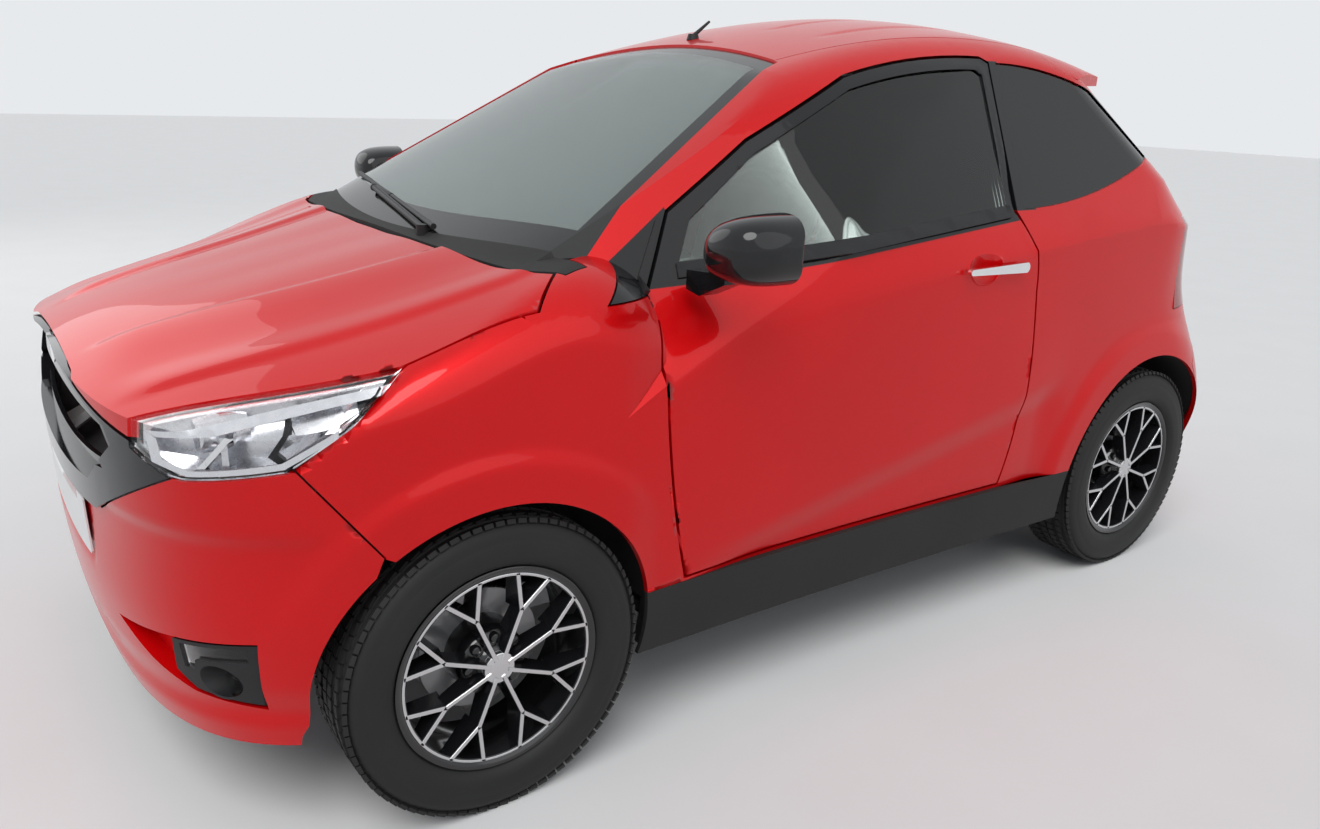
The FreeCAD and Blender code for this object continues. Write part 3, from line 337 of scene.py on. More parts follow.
def two_tone(name, black_zone):
    """Pearl red with polished black where the zone is 1."""
    bench = Finish(name)
    flakes = bench.cells(1400, output="Color")
    sparkle = bench.node("ShaderNodeSeparateColor", {"mode": "RGB"}, {"Color": flakes})
    drift = bench.noise(2.2, 2)
    red = bench.blend(sparkle * 0.25 + drift * 0.5, colour(*PAINT_DEEP), colour(*PAINT_BRIGHT))
    black = black_zone(bench, *outer_place(bench)) if black_zone else None
    peel = bench.noise(140, 1)
    if black is None:
        base, gleam, metal_share = red, sparkle * 0.06 + 0.34, 0.35
    else:
        base = bench.blend(black, red, colour(0.008, 0.008, 0.009))
        gleam = (sparkle * 0.06 + 0.34) * (1 - black) + black * 0.22
        metal_share = (1 - black) * 0.35
    return bench.surface(
        Base_Color=base,
        Metallic=metal_share,
        Roughness=gleam,
        Specular_IOR_Level=0.12,
        Coat_Weight=0.6,
        Coat_Roughness=0.02,
        Coat_IOR=1.42,
        Normal=bench.bump(peel, 0.00005, 0.2),
    )


def door_frame_zone(bench, x, y, z):
    return (z - y * 0.0865).above(866, 1.0)


def side_frame_zone(bench, x, y, z):
    pillar = y.above(1290, 1) * (1 - y.above(1391, 1)) * z.above(1001, 1) * (1 - z.above(1321, 1))
    behind = (z - y * 0.291).above(553, 1) * (1 - (z + y * 0.476).above(2092, 1)) * y.above(1690, 1)
    around = (z - y * 0.06).above(916, 1) * (1 - (z + y * 0.2).above(1617, 1)) * y.above(1340, 1)
    foot = (y * 0.684 + 747 - z).above(0, 1) * z.above(872, 1) * (1 - y.above(414, 1))
    total = pillar + behind * around + foot
    return total.math("MINIMUM", total, 1.0)


def tailgate_zone(bench, x, y, z):
    return z.above(975, 1)


print("paint zones ready")

# %% [markdown]
# ## Wheel finish
# The wheels are cast, painted black and then turned on a lathe, so only the faces that the
# tool reached are bright. Those faces are picked by their distance out from the car and
# from the axle. The hub cap is silver and the brake disc behind is bare steel.

# %% Machined wheels
def wheel_finish():
    """Black alloy with machined faces, a silver hub cap and a steel brake disc behind."""
    bench = Finish("machined_alloy")
    x, y, z = outer_place(bench)
    high = z - AXLE_HEIGHT
    front = (y * y + high * high) ** 0.5
    back = y - WHEELBASE
    rear = (back * back + high * high) ** 0.5
    radius = front.math("MINIMUM", front, rear)
    face = x.above(727.0, 0.2) * (1 - radius.above(177.0, 0.3))
    cap = (1 - radius.above(28.6, 0.3)) * x.above(700, 1)
    disc = (1 - x.above(643, 1)) * (1 - radius.above(117, 1)) * x.above(632, 1) * 0.5
    bare = face.either(cap).either(disc)
    turned = bench.noise(900, 1, place=bench.stretched((1, 0.02, 0.02)))
    return bench.surface(
        Base_Color=bench.blend(bare, colour(0.008, 0.008, 0.009), colour(0.62, 0.62, 0.63)),
        Metallic=bare,
        Roughness=bare * (turned * 0.12 + 0.18) + (1 - bare) * 0.16,
        Coat_Weight=0.4,
        Coat_Roughness=0.05,
    )


print("wheel finish ready")

# %% [markdown]
# ## Windscreen
# The screen is bonded in under a border of black enamel fired onto the glass. The border is
# a mask over the same sheet, from its outline in plan. A pale diffuse film over the clear part
# is a painted reflection: it lightens the sloping screen as a brighter mirror of the sky would.

# %% Windscreen glass
def screen_glass():
    """Windscreen: thin tinted sheet with a painted reflection film and a black fired border."""
    bench = Finish("windscreen_glass")
    x, y, z = outer_place(bench)
    side = (x + (y - 206) * 0.292).above(560, 1)
    top = (y + x * x * 0.0002).above(800, 1)
    foot = 1 - (y - x * x * 0.000275).above(172, 1)
    border = side.either(top).either(foot)
    through = bench.node("ShaderNodeBsdfTransparent", {}, {"Color": (0.86, 0.92, 0.90, 1)})
    mirror = bench.node("ShaderNodeBsdfGlossy", {}, {"Color": (1, 1, 1, 1), "Roughness": 0.0})
    angle = bench.node("ShaderNodeFresnel", {}, {"IOR": 1.7})
    clear = bench.node("ShaderNodeMixShader", {}, {0: angle, 1: through, 2: mirror})
    # Painted reflection: a pale diffuse film, in a patchy share, lightens the clear glass where a stronger
    # mirror of the sky would
    painted_reflection = bench.node("ShaderNodeBsdfDiffuse", {}, {"Color": (0.40, 0.46, 0.45, 1)})
    patchy_share = bench.noise(2, 2) * 0.1 + 0.08
    sheet = bench.node("ShaderNodeMixShader", {}, {0: patchy_share, 1: clear, 2: painted_reflection})
    enamel = bench.blend(bench.noise(50, 2), colour(0.004, 0.004, 0.004), colour(0.008, 0.008, 0.008))
    fired = bench.node("ShaderNodeBsdfPrincipled", {}, {"Base Color": enamel, "Roughness": 0.12})
    mixed = bench.node("ShaderNodeMixShader", {}, {0: border, 1: sheet, 2: fired})
    bench.tree.links.new(mixed.socket, bench.out.inputs["Surface"])
    return bench.material


special = {
    "door_left": two_tone("door_paint", door_frame_zone),
    "side_frames": two_tone("side_paint", side_frame_zone),
    "tailgate": two_tone("tailgate_paint", tailgate_zone),
    "windscreen": screen_glass(),
}
special["door_right"] = special["door_left"]
finishes["red_paint"] = two_tone("red_pearl_paint", None)
finishes["wheel_alloy"] = wheel_finish()
print("special finishes", len(special))

# %% [markdown]
# ## Carrying the CAD solids over
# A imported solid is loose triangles, so each is copied, its doubled points are merged and
# its faces are smoothed except over sharp edges. The copy stands for the CAD node.

# %% Merge and smooth a copy of each node
MERGE_DISTANCE = 0.00002
SHARP_ANGLE = 32


def adopt(name, mesh, body, slot, finish=None):
    """Puts a mesh in the scene as a finished piece that rides on a body."""
    piece = bpy.data.objects.new(name, mesh)
    bpy.context.scene.collection.objects.link(piece)
    mesh.materials.clear()
    mesh.materials.append(finish or finishes[slot])
    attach(piece, body)
    return piece


def shade(bench, sharp):
    """Smooth faces, with an edge between two of them sharp past an angle in degrees."""
    for face in bench.faces:
        face.smooth = True
    for edge in bench.edges:
        if len(edge.link_faces) == 2:
            edge.smooth = edge.calc_face_angle(0) < math.radians(sharp)


def smooth_copy(node):
    """The node's mesh, merged, with smooth faces and sharp edges where it turns sharply."""
    mesh = frame["nodes"][node].data.copy()
    bench = bmesh.new()
    bench.from_mesh(mesh)
    bmesh.ops.remove_doubles(bench, verts=bench.verts, dist=MERGE_DISTANCE)
    shade(bench, SHARP_ANGLE)
    bench.to_mesh(mesh)
    bench.free()
    mesh.name = node + "_skin"
    return mesh


print("edges stay sharp past", SHARP_ANGLE, "degrees")

# %% [markdown]
# ## Panels with a form of their own
# The CAD panel gives the border, the holes and the inside. Its outer face gets an even
# mesh in place of the CAD's long triangles: a polynomial through its heights takes the
# facets out, and a form function then draws creases, flares and scoops into it.

# %% Find the outer face of a panel
FLOOD_ANGLE = 28
RAY_START = 6
RAY_LENGTH = 12


def outer_region(bench, facing, limit, side):
    """The largest connected patch of faces that look towards facing."""
    candidates = set()
    for face in bench.faces:
        middle = face.calc_center_median()
        if face.normal.dot(facing) > limit and (side == 0 or middle.x * side > 0):
            candidates.add(face)
    best = []
    best_area = 0.0
    while candidates:
        seed = candidates.pop()
        patch = [seed]
        queue = [seed]
        while queue:
            face = queue.pop()
            for edge in face.edges:
                if len(edge.link_faces) != 2 or edge.calc_face_angle(0) > math.radians(FLOOD_ANGLE):
                    continue
                for other in edge.link_faces:
                    if other in candidates:
                        candidates.discard(other)
                        patch.append(other)
                        queue.append(other)
        area = sum(face.calc_area() for face in patch)
        if area > best_area:
            best = patch
            best_area = area
    return best


def split_border(bench, region, spacing):
    """Cuts the long edges around a region so that its border is as fine as its mesh."""
    inside = set(region)
    wanted = {}
    for face in region:
        for edge in face.edges:
            outside = [other for other in edge.link_faces if other not in inside]
            cuts = int(edge.calc_length() / spacing)
            if outside and cuts > 0:
                wanted.setdefault(min(cuts, 60), set()).add(edge)
    for cuts, edges in wanted.items():
        bmesh.ops.subdivide_edges(bench, edges=list(edges), cuts=cuts)


print("an outer face ends where it turns by", FLOOD_ANGLE, "degrees")

# %% [markdown]
# ## Smooth heights
# A lofted CAD panel reaches Blender as long flat triangles, which show as bands in glossy
# paint. Heights taken on an even grid are fitted by a Chebyshev polynomial, which is smooth
# by nature, and what it misses is softened and added back.

# %% A smooth surface through the heights
FULL_WEIGHT = 0.60


def spread(values, weights, reach):
    """A soft average of a grid of values over reach cells each way, and its weight."""
    kernel = np.exp(-0.5 * (np.arange(-reach, reach + 1) / (reach * 0.5)) ** 2)
    kernel /= kernel.sum()
    total, weight = values * weights, weights.astype(float)
    steps = list(zip(kernel, range(-reach, reach + 1)))
    for axis in (0, 1):
        total = sum(share * np.roll(total, step, axis) for share, step in steps)
        weight = sum(share * np.roll(weight, step, axis) for share, step in steps)
    return total / np.maximum(weight, 1e-9), weight


def smooth_heights(grid_u, grid_v, heights, hit, order):
    """A polynomial through the heights, plus what it misses, softened."""
    scale = [np.interp(grid, (grid.min(), grid.max()), (-1, 1)) for grid in (grid_u, grid_v)]
    terms = np.polynomial.chebyshev.chebvander2d(scale[0], scale[1], (order, order))
    flat = terms[hit].reshape(-1, (order + 1) ** 2)
    factors = np.linalg.lstsq(flat, heights[hit], rcond=None)[0]
    fitted = terms.reshape(grid_u.shape + (-1,)) @ factors
    missed = np.where(hit, heights - fitted, 0.0)
    soft, weight = spread(missed, hit, 2)
    keep = np.clip((weight - FULL_WEIGHT) / 0.25, 0, 1)
    return np.where(hit, heights * (1 - keep) + (fitted + soft) * keep, 0.0), weight


print("heights smoothed where the weight is over", FULL_WEIGHT)

# %% [markdown]
# ## An even mesh within the old border
# The border's points stay where they are, so the panel's thickness and its seams are kept.
# The grid points inside it are joined to it by a constrained triangulation, which also
# covers the holes; the patches between borders are kept or dropped as a whole.

# %% Even mesh over the outer face
def on_panel(made, triangles, walls, covered):
    """The triangles on the panel: all that no border parts from each other stand or fall together."""
    owners = {}
    for index, loop in enumerate(triangles):
        for edge in zip(loop, loop[1:] + loop[:1]):
            owners.setdefault(tuple(sorted(edge)), []).append(index)
    kept = []
    waiting = set(range(len(triangles)))
    while waiting:
        queue = [waiting.pop()]
        patch = []
        vote = 0.0
        while queue:
            index = queue.pop()
            patch.append(index)
            loop = triangles[index]
            a, b, c = (made[i] for i in loop)
            area = abs((b[0] - a[0]) * (c[1] - a[1]) - (b[1] - a[1]) * (c[0] - a[0]))
            vote += area if covered((a + b + c) / 3) else -area
            for edge in zip(loop, loop[1:] + loop[:1]):
                key = tuple(sorted(edge))
                for other in owners[key] if key not in walls else ():
                    if other in waiting:
                        waiting.discard(other)
                        queue.append(other)
        if vote > 0:
            kept += [triangles[index] for index in patch]
    return kept


def resurface(bench, facing, spacing, form=None, side=0, limit=0.25, order=7):
    """Replaces a panel's outer face by an even mesh within the same border, then shapes it."""
    facing = Vector(facing).normalized()
    across = Vector((0, 1, 0)) if abs(facing.x) > 0.6 else Vector((1, 0, 0))
    across = (across - facing * across.dot(facing)).normalized()
    upward = facing.cross(across)
    split_border(bench, outer_region(bench, facing, limit, side), spacing)
    region = outer_region(bench, facing, limit, side)
    inside = set(region)
    border = set()
    for face in region:
        for edge in face.edges:
            if any(other not in inside for other in edge.link_faces):
                border.add(edge)
    rim = sorted({vert for edge in border for vert in edge.verts}, key=lambda vert: vert.index)
    corners = {vert: index for index, vert in enumerate(rim)}
    spots = {}
    for face in region:
        for vert in face.verts:
            spots.setdefault(vert, len(spots))
    loops = [[spots[vert] for vert in face.verts] for face in region]
    tree = BVHTree.FromPolygons([vert.co.copy() for vert in spots], loops)
    flat = [(vert.co.dot(across), vert.co.dot(upward)) for vert in rim]
    low = np.min(flat, axis=0)
    high = np.max(flat, axis=0)
    steps = [np.arange(low[i] - 3 * spacing, high[i] + 3 * spacing, spacing) for i in (0, 1)]
    grid_u, grid_v = np.meshgrid(*steps, indexing="ij")
    grid_u = grid_u + (np.arange(grid_u.shape[1]) % 2)[None, :] * spacing * 0.5
    heights = np.zeros(grid_u.shape)
    hit = np.zeros(grid_u.shape, bool)
    for index in np.ndindex(grid_u.shape):
        start = across * grid_u[index] + upward * grid_v[index] + facing * RAY_START
        place = tree.ray_cast(start, -facing, RAY_LENGTH)[0]
        if place is not None:
            heights[index] = place.dot(facing)
            hit[index] = True
    heights, weight = smooth_heights(grid_u, grid_v, heights, hit, order)
    points = [Vector(spot) for spot in flat]
    chosen = [index for index in np.ndindex(grid_u.shape) if hit[index] and weight[index] > FULL_WEIGHT]
    points += [Vector((grid_u[index], grid_v[index])) for index in chosen]
    links = [(corners[edge.verts[0]], corners[edge.verts[1]]) for edge in border]
    made, lines, triangles, sources, line_sources, _ = delaunay_2d_cdt(points, links, [], 0, 1e-7)
    walls = {tuple(sorted(line)) for line, source in zip(lines, line_sources) if source}

    def covered(spot):
        start = across * spot[0] + upward * spot[1] + facing * RAY_START
        return tree.ray_cast(start, -facing, RAY_LENGTH)[0] is not None

    bmesh.ops.delete(bench, geom=region, context="FACES")
    verts = []
    for spot, source in zip(made, sources):
        if source and source[0] < len(rim):
            verts.append(rim[source[0]])
            continue
        if source:
            height = heights[chosen[source[0] - len(rim)]]
        else:
            guess = across * spot[0] + upward * spot[1] + facing * heights[hit].mean()
            height = tree.find_nearest(guess)[0].dot(facing)
        verts.append(bench.verts.new(across * spot[0] + upward * spot[1] + facing * height))
    outer = set()
    for triangle in on_panel(made, triangles, walls, covered):
        loop = [verts[i] for i in triangle]
        if len(set(loop)) == 3 and bench.faces.get(loop) is None:
            bench.faces.new(loop)
            outer.update(loop)
    loose = [vert for vert in bench.verts if not vert.link_faces]
    bmesh.ops.delete(bench, geom=loose, context="VERTS")
    outer = [vert for vert in outer if vert.is_valid]
    if form is not None:
        places = np.array([vert.co for vert in outer])
        moved = places + form(places)
        for vert, place in zip(outer, moved):
            vert.co = place
    bench.normal_update()
    return len(outer)


def formed_panel(node, passes, spacing=0.010):
    """A smooth copy whose outer faces are made anew, one pass for each way that they look."""
    bench = bmesh.new()
    bench.from_mesh(frame["nodes"][node].data)
    bmesh.ops.remove_doubles(bench, verts=bench.verts, dist=MERGE_DISTANCE)
    for settings in passes:
        count = resurface(bench, spacing=spacing, **settings)
        print(node, "outer points", count)
    mesh = bpy.data.meshes.new(node + "_skin")
    shade(bench, SHARP_ANGLE)
    bench.to_mesh(mesh)
    bench.free()
    return mesh


print("outer faces can be made anew")

# %% [markdown]
# ## The car's own lines
# Every crease is a height in millimetres over the side view or the plan, with y counted
# from the front axle, so that neighbouring panels share one form and meet at their seams.

# %% Form functions
# Lines over the side view: y, the height there, and the rise for each millimetre of y
SHOULDER_LINE = (326, 808, 0.1506)
SCOOP_LINE = (424, 379, 0.2011)


def height_on(line, y):
    start, height, rise = line
    return height + (y - start) * rise


def ease(value, start, end):
    share = np.clip((value - start) / (end - start), 0, 1)
    return share * share * (3 - 2 * share)


def ridge(distance, inner, outer):
    """1 on the line, falling over inner on its negative side and outer on its positive side."""
    return np.where(distance < 0, 1 - ease(-distance, 0, inner), 1 - ease(distance, 0, outer))


def millimetres(places):
    return np.abs(places[:, 0]) * 1000, (places[:, 1] + FRONT_AXLE) * 1000, places[:, 2] * 1000


def side_form(places):
    """Wheel arch flares, the shoulder line and the scoop above the sill."""
    x, y, z = millimetres(places)
    front = np.hypot(y, z - AXLE_HEIGHT)
    rear = np.hypot(y - WHEELBASE, z - AXLE_HEIGHT - 8)
    outward = 10 * (1 - ease(front, 372, 408)) * (1 - ease(y, 235, 330)) * ease(z, 200, 330)
    shoulder = height_on(SHOULDER_LINE, y)
    over_door = ease(y, 400, 760) * (1 - ease(y, 1700, 2000))
    tuck = ease(z, shoulder - 4, shoulder + 70) * (1 - ease(z, shoulder + 70, shoulder + 190))
    outward -= 7 * tuck * over_door
    scoop = ease(height_on(SCOOP_LINE, y) - z, -10, 70) * ease(y, 330, 620) * (1 - ease(y, 1440, 1560))
    haunch = ease(rear, 372, 430) * ease(y, 1340, 1560)
    haunch = haunch * (1 - ease(z, 560, 800)) * (1 - ease(y, 2050, 2200))
    outward -= 13 * scoop + 9 * haunch
    turn = np.sign(places[:, 0])
    moved = np.zeros_like(places)
    moved[:, 0] = outward * turn / 1000
    return moved


def bonnet_form(places):
    """Two pairs of creases that run from the windscreen to the nose."""
    x, y, z = millimetres(places)
    along = np.clip((y + 505) / 600, 0, 1)
    inner = x - (215 + 125 * along)
    outer = x - (430 + 150 * along)
    lift = 8 * ridge(inner, 26, 150) + 5 * ridge(outer, 70, 30)
    lift -= 5 * (1 - ease(np.abs(x), 60, 215)) * ease(y, -480, -200)
    lift *= ease(y, -520, -420)
    moved = np.zeros_like(places)
    moved[:, 2] = lift / 1000
    return moved


def nose_form(places):
    """Shoulder crease, scooped cheek and the fold of the lip, all cut inwards."""
    x, y, z = millimetres(places)
    inward = 9 * (1 - ease(z, 560, 592)) * ease(z, 380, 540) * ease(x, 120, 300)
    inward += 6 * ridge(z - 268, 30, 60) * ease(x, 60, 200)
    inward += 8 * (1 - ease(x, 266, 274)) * ease(z, 428, 434) * (1 - ease(z, 550, 556))
    flare = side_form(places)
    fade = ease(y, -420, -300)
    moved = flare * fade[:, None]
    toward = np.stack([places[:, 0] * 0.8, places[:, 1] + 0.30, np.zeros(len(x))], 1)
    toward /= np.maximum(np.linalg.norm(toward, axis=1), 1e-9)[:, None]
    return moved - toward * (inward * (1 - ease(y, -330, -240)) / 1000)[:, None]


def roof_form(places):
    """Shallow channels along the roof."""
    x, y, z = millimetres(places)
    channels = ridge(x - 150, 14, 14) + ridge(x - 330, 14, 14)
    dip = 3.5 * channels * ease(y, 980, 1080) * (1 - ease(y, 1540, 1620))
    moved = np.zeros_like(places)
    moved[:, 2] = -dip / 1000
    return moved


print("forms for the sides, bonnet, nose and roof")

# %% [markdown]
# ## Dress every node
# Formed panels get their outer faces made anew, once for each way that they look. All else
# keeps its CAD shape. Tyres, rims and seats are left out here and built further down.

# %% Which panels are formed, and from where
FORMED = {
    "bonnet": [{"facing": (0, -0.25, 1), "form": bonnet_form}],
    "door_left": [{"facing": (1, 0, 0.15), "form": side_form}],
    "door_right": [{"facing": (-1, 0, 0.15), "form": side_form}],
    "front_wings": [{"facing": (1, -0.35, 0.35), "form": side_form, "side": 1, "limit": 0.12},
                    {"facing": (-1, -0.35, 0.35), "form": side_form, "side": -1, "limit": 0.12}],
    "side_frames": [{"facing": (1, 0.25, 0.35), "form": side_form, "side": 1, "limit": 0.1, "order": 9},
                    {"facing": (-1, 0.25, 0.35), "form": side_form, "side": -1, "limit": 0.1, "order": 9}],
    "roof": [{"facing": (0, 0, 1), "form": roof_form}],
    "tailgate": [{"facing": (0, 1, 0.35)}],
    "front_bumper": [{"facing": (0.6, -0.8, 0), "form": nose_form, "side": 1, "limit": 0.2},
                     {"facing": (-0.6, -0.8, 0), "form": nose_form, "side": -1, "limit": 0.2}],
}

print("formed panels", len(FORMED))

# %% Dress every node
MADE_ANEW = ("tyre_", "rim_", "seats")
for node_name, slot_name in node_slot.items():
    if node_name.startswith(MADE_ANEW):
        continue
    if node_name in FORMED:
        skin = formed_panel(node_name, FORMED[node_name])
    else:
        skin = smooth_copy(node_name)
    finish = special.get(node_name)
    adopt(node_name + "_finished", skin, node_body[node_name], slot_name, finish)
    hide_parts(node_name)

# %% [markdown]
# ## Tyres, turned and studded
# Each tyre is turned from one half section with four grooves. The tread blocks between
# them are one block, set around a circle by Geometry Nodes and made real.

# %% Turned bodies
LATHE_SHARP = 38


def lathe(name, section, centre, segments=160):
    """Turns a section of (distance out, radius) millimetres about the X axis through centre."""
    bench = bmesh.new()
    rings = []
    for step in range(segments):
        turn = 2 * math.pi * step / segments
        ring = []
        for out, radius in section:
            place = (out, radius * math.cos(turn), radius * math.sin(turn))
            ring.append(bench.verts.new(Vector(place) / 1000 + centre))
        rings.append(ring)
    for step in range(segments):
        here, following = rings[step], rings[(step + 1) % segments]
        for i in range(len(section)):
            j = (i + 1) % len(section)
            bench.faces.new((here[i], here[j], following[j], following[i]))
    bmesh.ops.recalc_face_normals(bench, faces=bench.faces)
    for face in bench.faces:
        face.smooth = True
    for edge in bench.edges:
        edge.smooth = edge.calc_face_angle(0) < math.radians(LATHE_SHARP)
    mesh = bpy.data.meshes.new(name)
    bench.to_mesh(mesh)
    bench.free()
    return mesh


def tyre_section():
    """Half a tyre from bead to crown with its grooves, then mirrored."""
    bead = [(62, 178.2), (62, 190.6), (70, 196)]
    wall = [(76, 205), (77.2, 214), (77.5, 226), (77.3, 236), (76.2, 240), (75.6, 243), (75.4, 252)]
    shoulder = [(72.5, 260), (68, 266), (62, 270), (54, 272.6)]
    outer_groove = [(53.5, 270.0), (47.5, 270.0), (46, 273.6), (31, 274.4)]
    inner_groove = [(29.5, 270.6), (21, 270.6), (19.5, 274.6), (2.5, 274.8), (1.8, 272)]
    half = bead + wall + shoulder + outer_groove + inner_groove
    return half + [(-out, radius) for out, radius in reversed(half)]


print("tyre section points", len(tyre_section()))

# %% [markdown]
# ## Tread blocks
# One block is set many times around a circle. Geometry Nodes do it: a mesh circle gives the
# points, each block turns to face outwards with its skew and lean, and the instances are
# made real. The count, radius and size come in through named inputs.

# %% A ring of blocks by Geometry Nodes
def ring_group():
    """Blocks of one size set around the Z axis; count, radius and size come from outside."""
    group = bpy.data.node_groups.new("ring_of_blocks", "GeometryNodeTree")
    face = group.interface
    face.new_socket("Geometry", in_out="INPUT", socket_type="NodeSocketGeometry")
    count = face.new_socket("Count", in_out="INPUT", socket_type="NodeSocketInt")
    radius = face.new_socket("Radius", in_out="INPUT", socket_type="NodeSocketFloat")
    size = face.new_socket("Size", in_out="INPUT", socket_type="NodeSocketVector")
    skew = face.new_socket("Skew", in_out="INPUT", socket_type="NodeSocketFloat")
    lean = face.new_socket("Lean", in_out="INPUT", socket_type="NodeSocketFloat")
    stuff = face.new_socket("Material", in_out="INPUT", socket_type="NodeSocketMaterial")
    face.new_socket("Geometry", in_out="OUTPUT", socket_type="NodeSocketGeometry")
    make = group.nodes.new
    join = group.links.new
    start, end = make("NodeGroupInput"), make("NodeGroupOutput")
    circle, block = make("GeometryNodeMeshCircle"), make("GeometryNodeMeshCube")
    aim, tilt = make("FunctionNodeAlignRotationToVector"), make("FunctionNodeRotateRotation")
    angles, where = make("ShaderNodeCombineXYZ"), make("GeometryNodeInputPosition")
    scatter, real = make("GeometryNodeInstanceOnPoints"), make("GeometryNodeRealizeInstances")
    dress = make("GeometryNodeSetMaterial")
    aim.axis = "X"
    tilt.rotation_space = "LOCAL"
    join(start.outputs["Count"], circle.inputs["Vertices"])
    join(start.outputs["Radius"], circle.inputs["Radius"])
    join(start.outputs["Size"], block.inputs["Size"])
    join(where.outputs[0], aim.inputs["Vector"])
    join(start.outputs["Skew"], angles.inputs["X"])
    join(start.outputs["Lean"], angles.inputs["Y"])
    join(aim.outputs[0], tilt.inputs["Rotation"])
    join(angles.outputs[0], tilt.inputs["Rotate By"])
    join(circle.outputs[0], scatter.inputs["Points"])
    join(block.outputs[0], scatter.inputs["Instance"])
    join(tilt.outputs[0], scatter.inputs["Rotation"])
    join(scatter.outputs[0], real.inputs[0])
    join(real.outputs[0], dress.inputs["Geometry"])
    join(start.outputs["Material"], dress.inputs["Material"])
    join(dress.outputs[0], end.inputs[0])
    names = {"Count": count, "Radius": radius, "Size": size, "Skew": skew, "Lean": lean, "Material": stuff}
    return group, {name: socket.identifier for name, socket in names.items()}


RING, RING_INPUT = ring_group()
print("ring group inputs", len(RING_INPUT))


# %% One ring as a plain mesh
def evaluated_mesh(holder):
    """What an object looks like with its modifiers, as a mesh of its own."""
    return bpy.data.meshes.new_from_object(holder.evaluated_get(bpy.context.evaluated_depsgraph_get()))


def ring_of_blocks(name, count, radius, block, skew, lean, material):
    """A plain mesh of blocks around the Z axis."""
    holder = bpy.data.objects.new(name, bpy.data.meshes.new(name + "_base"))
    bpy.context.scene.collection.objects.link(holder)
    modifier = holder.modifiers.new("ring", "NODES")
    modifier.node_group = RING
    values = {"Count": count, "Radius": radius, "Size": block}
    values.update({"Skew": skew, "Lean": lean, "Material": material})
    for label, value in values.items():
        modifier[RING_INPUT[label]] = value
    holder.update_tag()
    bpy.context.view_layer.update()
    mesh = evaluated_mesh(holder)
    bpy.data.objects.remove(holder)
    return mesh


print("rings can be made")

# %% The four tyres
HALF_TRACK = 0.6635
TREAD_ROWS = [
    # out mm, count, radial mm, along mm, across mm, radius mm, skew and lean degrees
    (61.5, 84, 8.0, 16.6, 17.0, 270.0, 6, 24),
    (38.5, 72, 5.0, 20.5, 14.0, 275.1, 14, 2),
    (10.8, 72, 5.0, 20.5, 16.0, 275.8, -8, 0),
    (-10.8, 72, 5.0, 20.5, 16.0, 275.8, 8, 0),
    (-38.5, 72, 5.0, 20.5, 14.0, 275.1, -14, -2),
    (-61.5, 84, 8.0, 16.6, 17.0, 270.0, -6, -24),
]
WHEELS = {"front_left": (HALF_TRACK, 0.0, 1), "front_right": (-HALF_TRACK, 0.0, -1),
          "rear_left": (HALF_TRACK, WHEELBASE / 1000, 1), "rear_right": (-HALF_TRACK, WHEELBASE / 1000, -1)}
tread_meshes = []
for row, (out, count, deep, along, wide, radius, skew, lean) in enumerate(TREAD_ROWS):
    size = (deep / 1000, along / 1000, wide / 1000)
    turns = (math.radians(skew), math.radians(lean))
    stuff = finishes["tyre_rubber"]
    mesh = ring_of_blocks(f"tread_{row}", count, radius / 1000, size, *turns, stuff)
    mesh.transform(Matrix.Translation((out / 1000, 0, 0)) @ Matrix.Rotation(math.radians(90), 4, "Y"))
    tread_meshes.append(mesh)


def gathered(name, meshes, centre, side=1):
    """Several meshes made one and moved to centre, mirrored where side is negative."""
    bench = bmesh.new()
    for mesh in meshes:
        bench.from_mesh(mesh)
    for vert in bench.verts:
        vert.co = Vector((vert.co.x * side, vert.co.y, vert.co.z)) + centre
    if side < 0:
        bmesh.ops.reverse_faces(bench, faces=bench.faces)
    joined = bpy.data.meshes.new(name)
    bench.to_mesh(joined)
    bench.free()
    return joined


carcass = lathe("carcass", tyre_section(), Vector((0, 0, 0)))
for corner, (x, y, side) in WHEELS.items():
    centre = Vector((x, y - FRONT_AXLE, AXLE_HEIGHT / 1000))
    mesh = gathered(f"tyre_{corner}_tread", [carcass] + tread_meshes, centre)
    tyre = adopt(f"tyre_{corner}_finished", mesh, f"wheel_{corner}", "tyre_rubber")
    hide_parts(f"tyre_{corner}")
print("tyres", len(WHEELS))

# %% [markdown]
# ## Wheels
# Eight spokes that fork towards the rim. Each arm is a bar with a narrow machined face
# and flanks that widen inwards, over a turned barrel, hub, brake disc and cap.

# %% Spokes, barrel and hub
# Each section is a list of (distance out, radius) in millimetres
BARREL = [(-62, 178), (-62, 190), (-68, 190), (-68, 171), (-20, 171), (-10, 166), (20, 166), (52, 170),
          (62, 170.5), (63.6, 172.4), (64.0, 173.2), (64.0, 176.4), (63.4, 177.2), (65.5, 179), (67.4, 186),
          (68, 188.4), (67.2, 190), (62, 190), (62, 178)]
HUB = [(-64, 20.1), (-64, 36), (-30, 36), (-30, 114), (-29, 115), (-22, 115), (-21, 114), (-21, 68),
       (-12, 68), (22, 64), (34, 60), (40, 52), (42, 36), (51, 30), (53, 24), (53, 20.1)]
CAP = [(40, 0.01), (40, 28.4), (60.6, 28.4), (61.6, 27.2), (61.2, 25.6), (61.8, 24), (62, 0.01)]
LUG = [(26, 0.01), (26, 9.6), (43, 9.6), (46, 8.4), (47.4, 5), (47.6, 0.01)]
SPOKE_ARMS = [((18, 0), (112, 0)), ((110, 0.5), (173, 33.5)), ((110, -0.5), (173, -33.5))]
SPOKE_COUNT = 8
SPOKE_TURN = 22.5
LUG_CIRCLE = 0.050
SPOKE_PROFILE = [(3.3, 64.0), (4.3, 62.6)]


def about_axle(degrees):
    return Matrix.Rotation(math.radians(degrees), 3, "X")


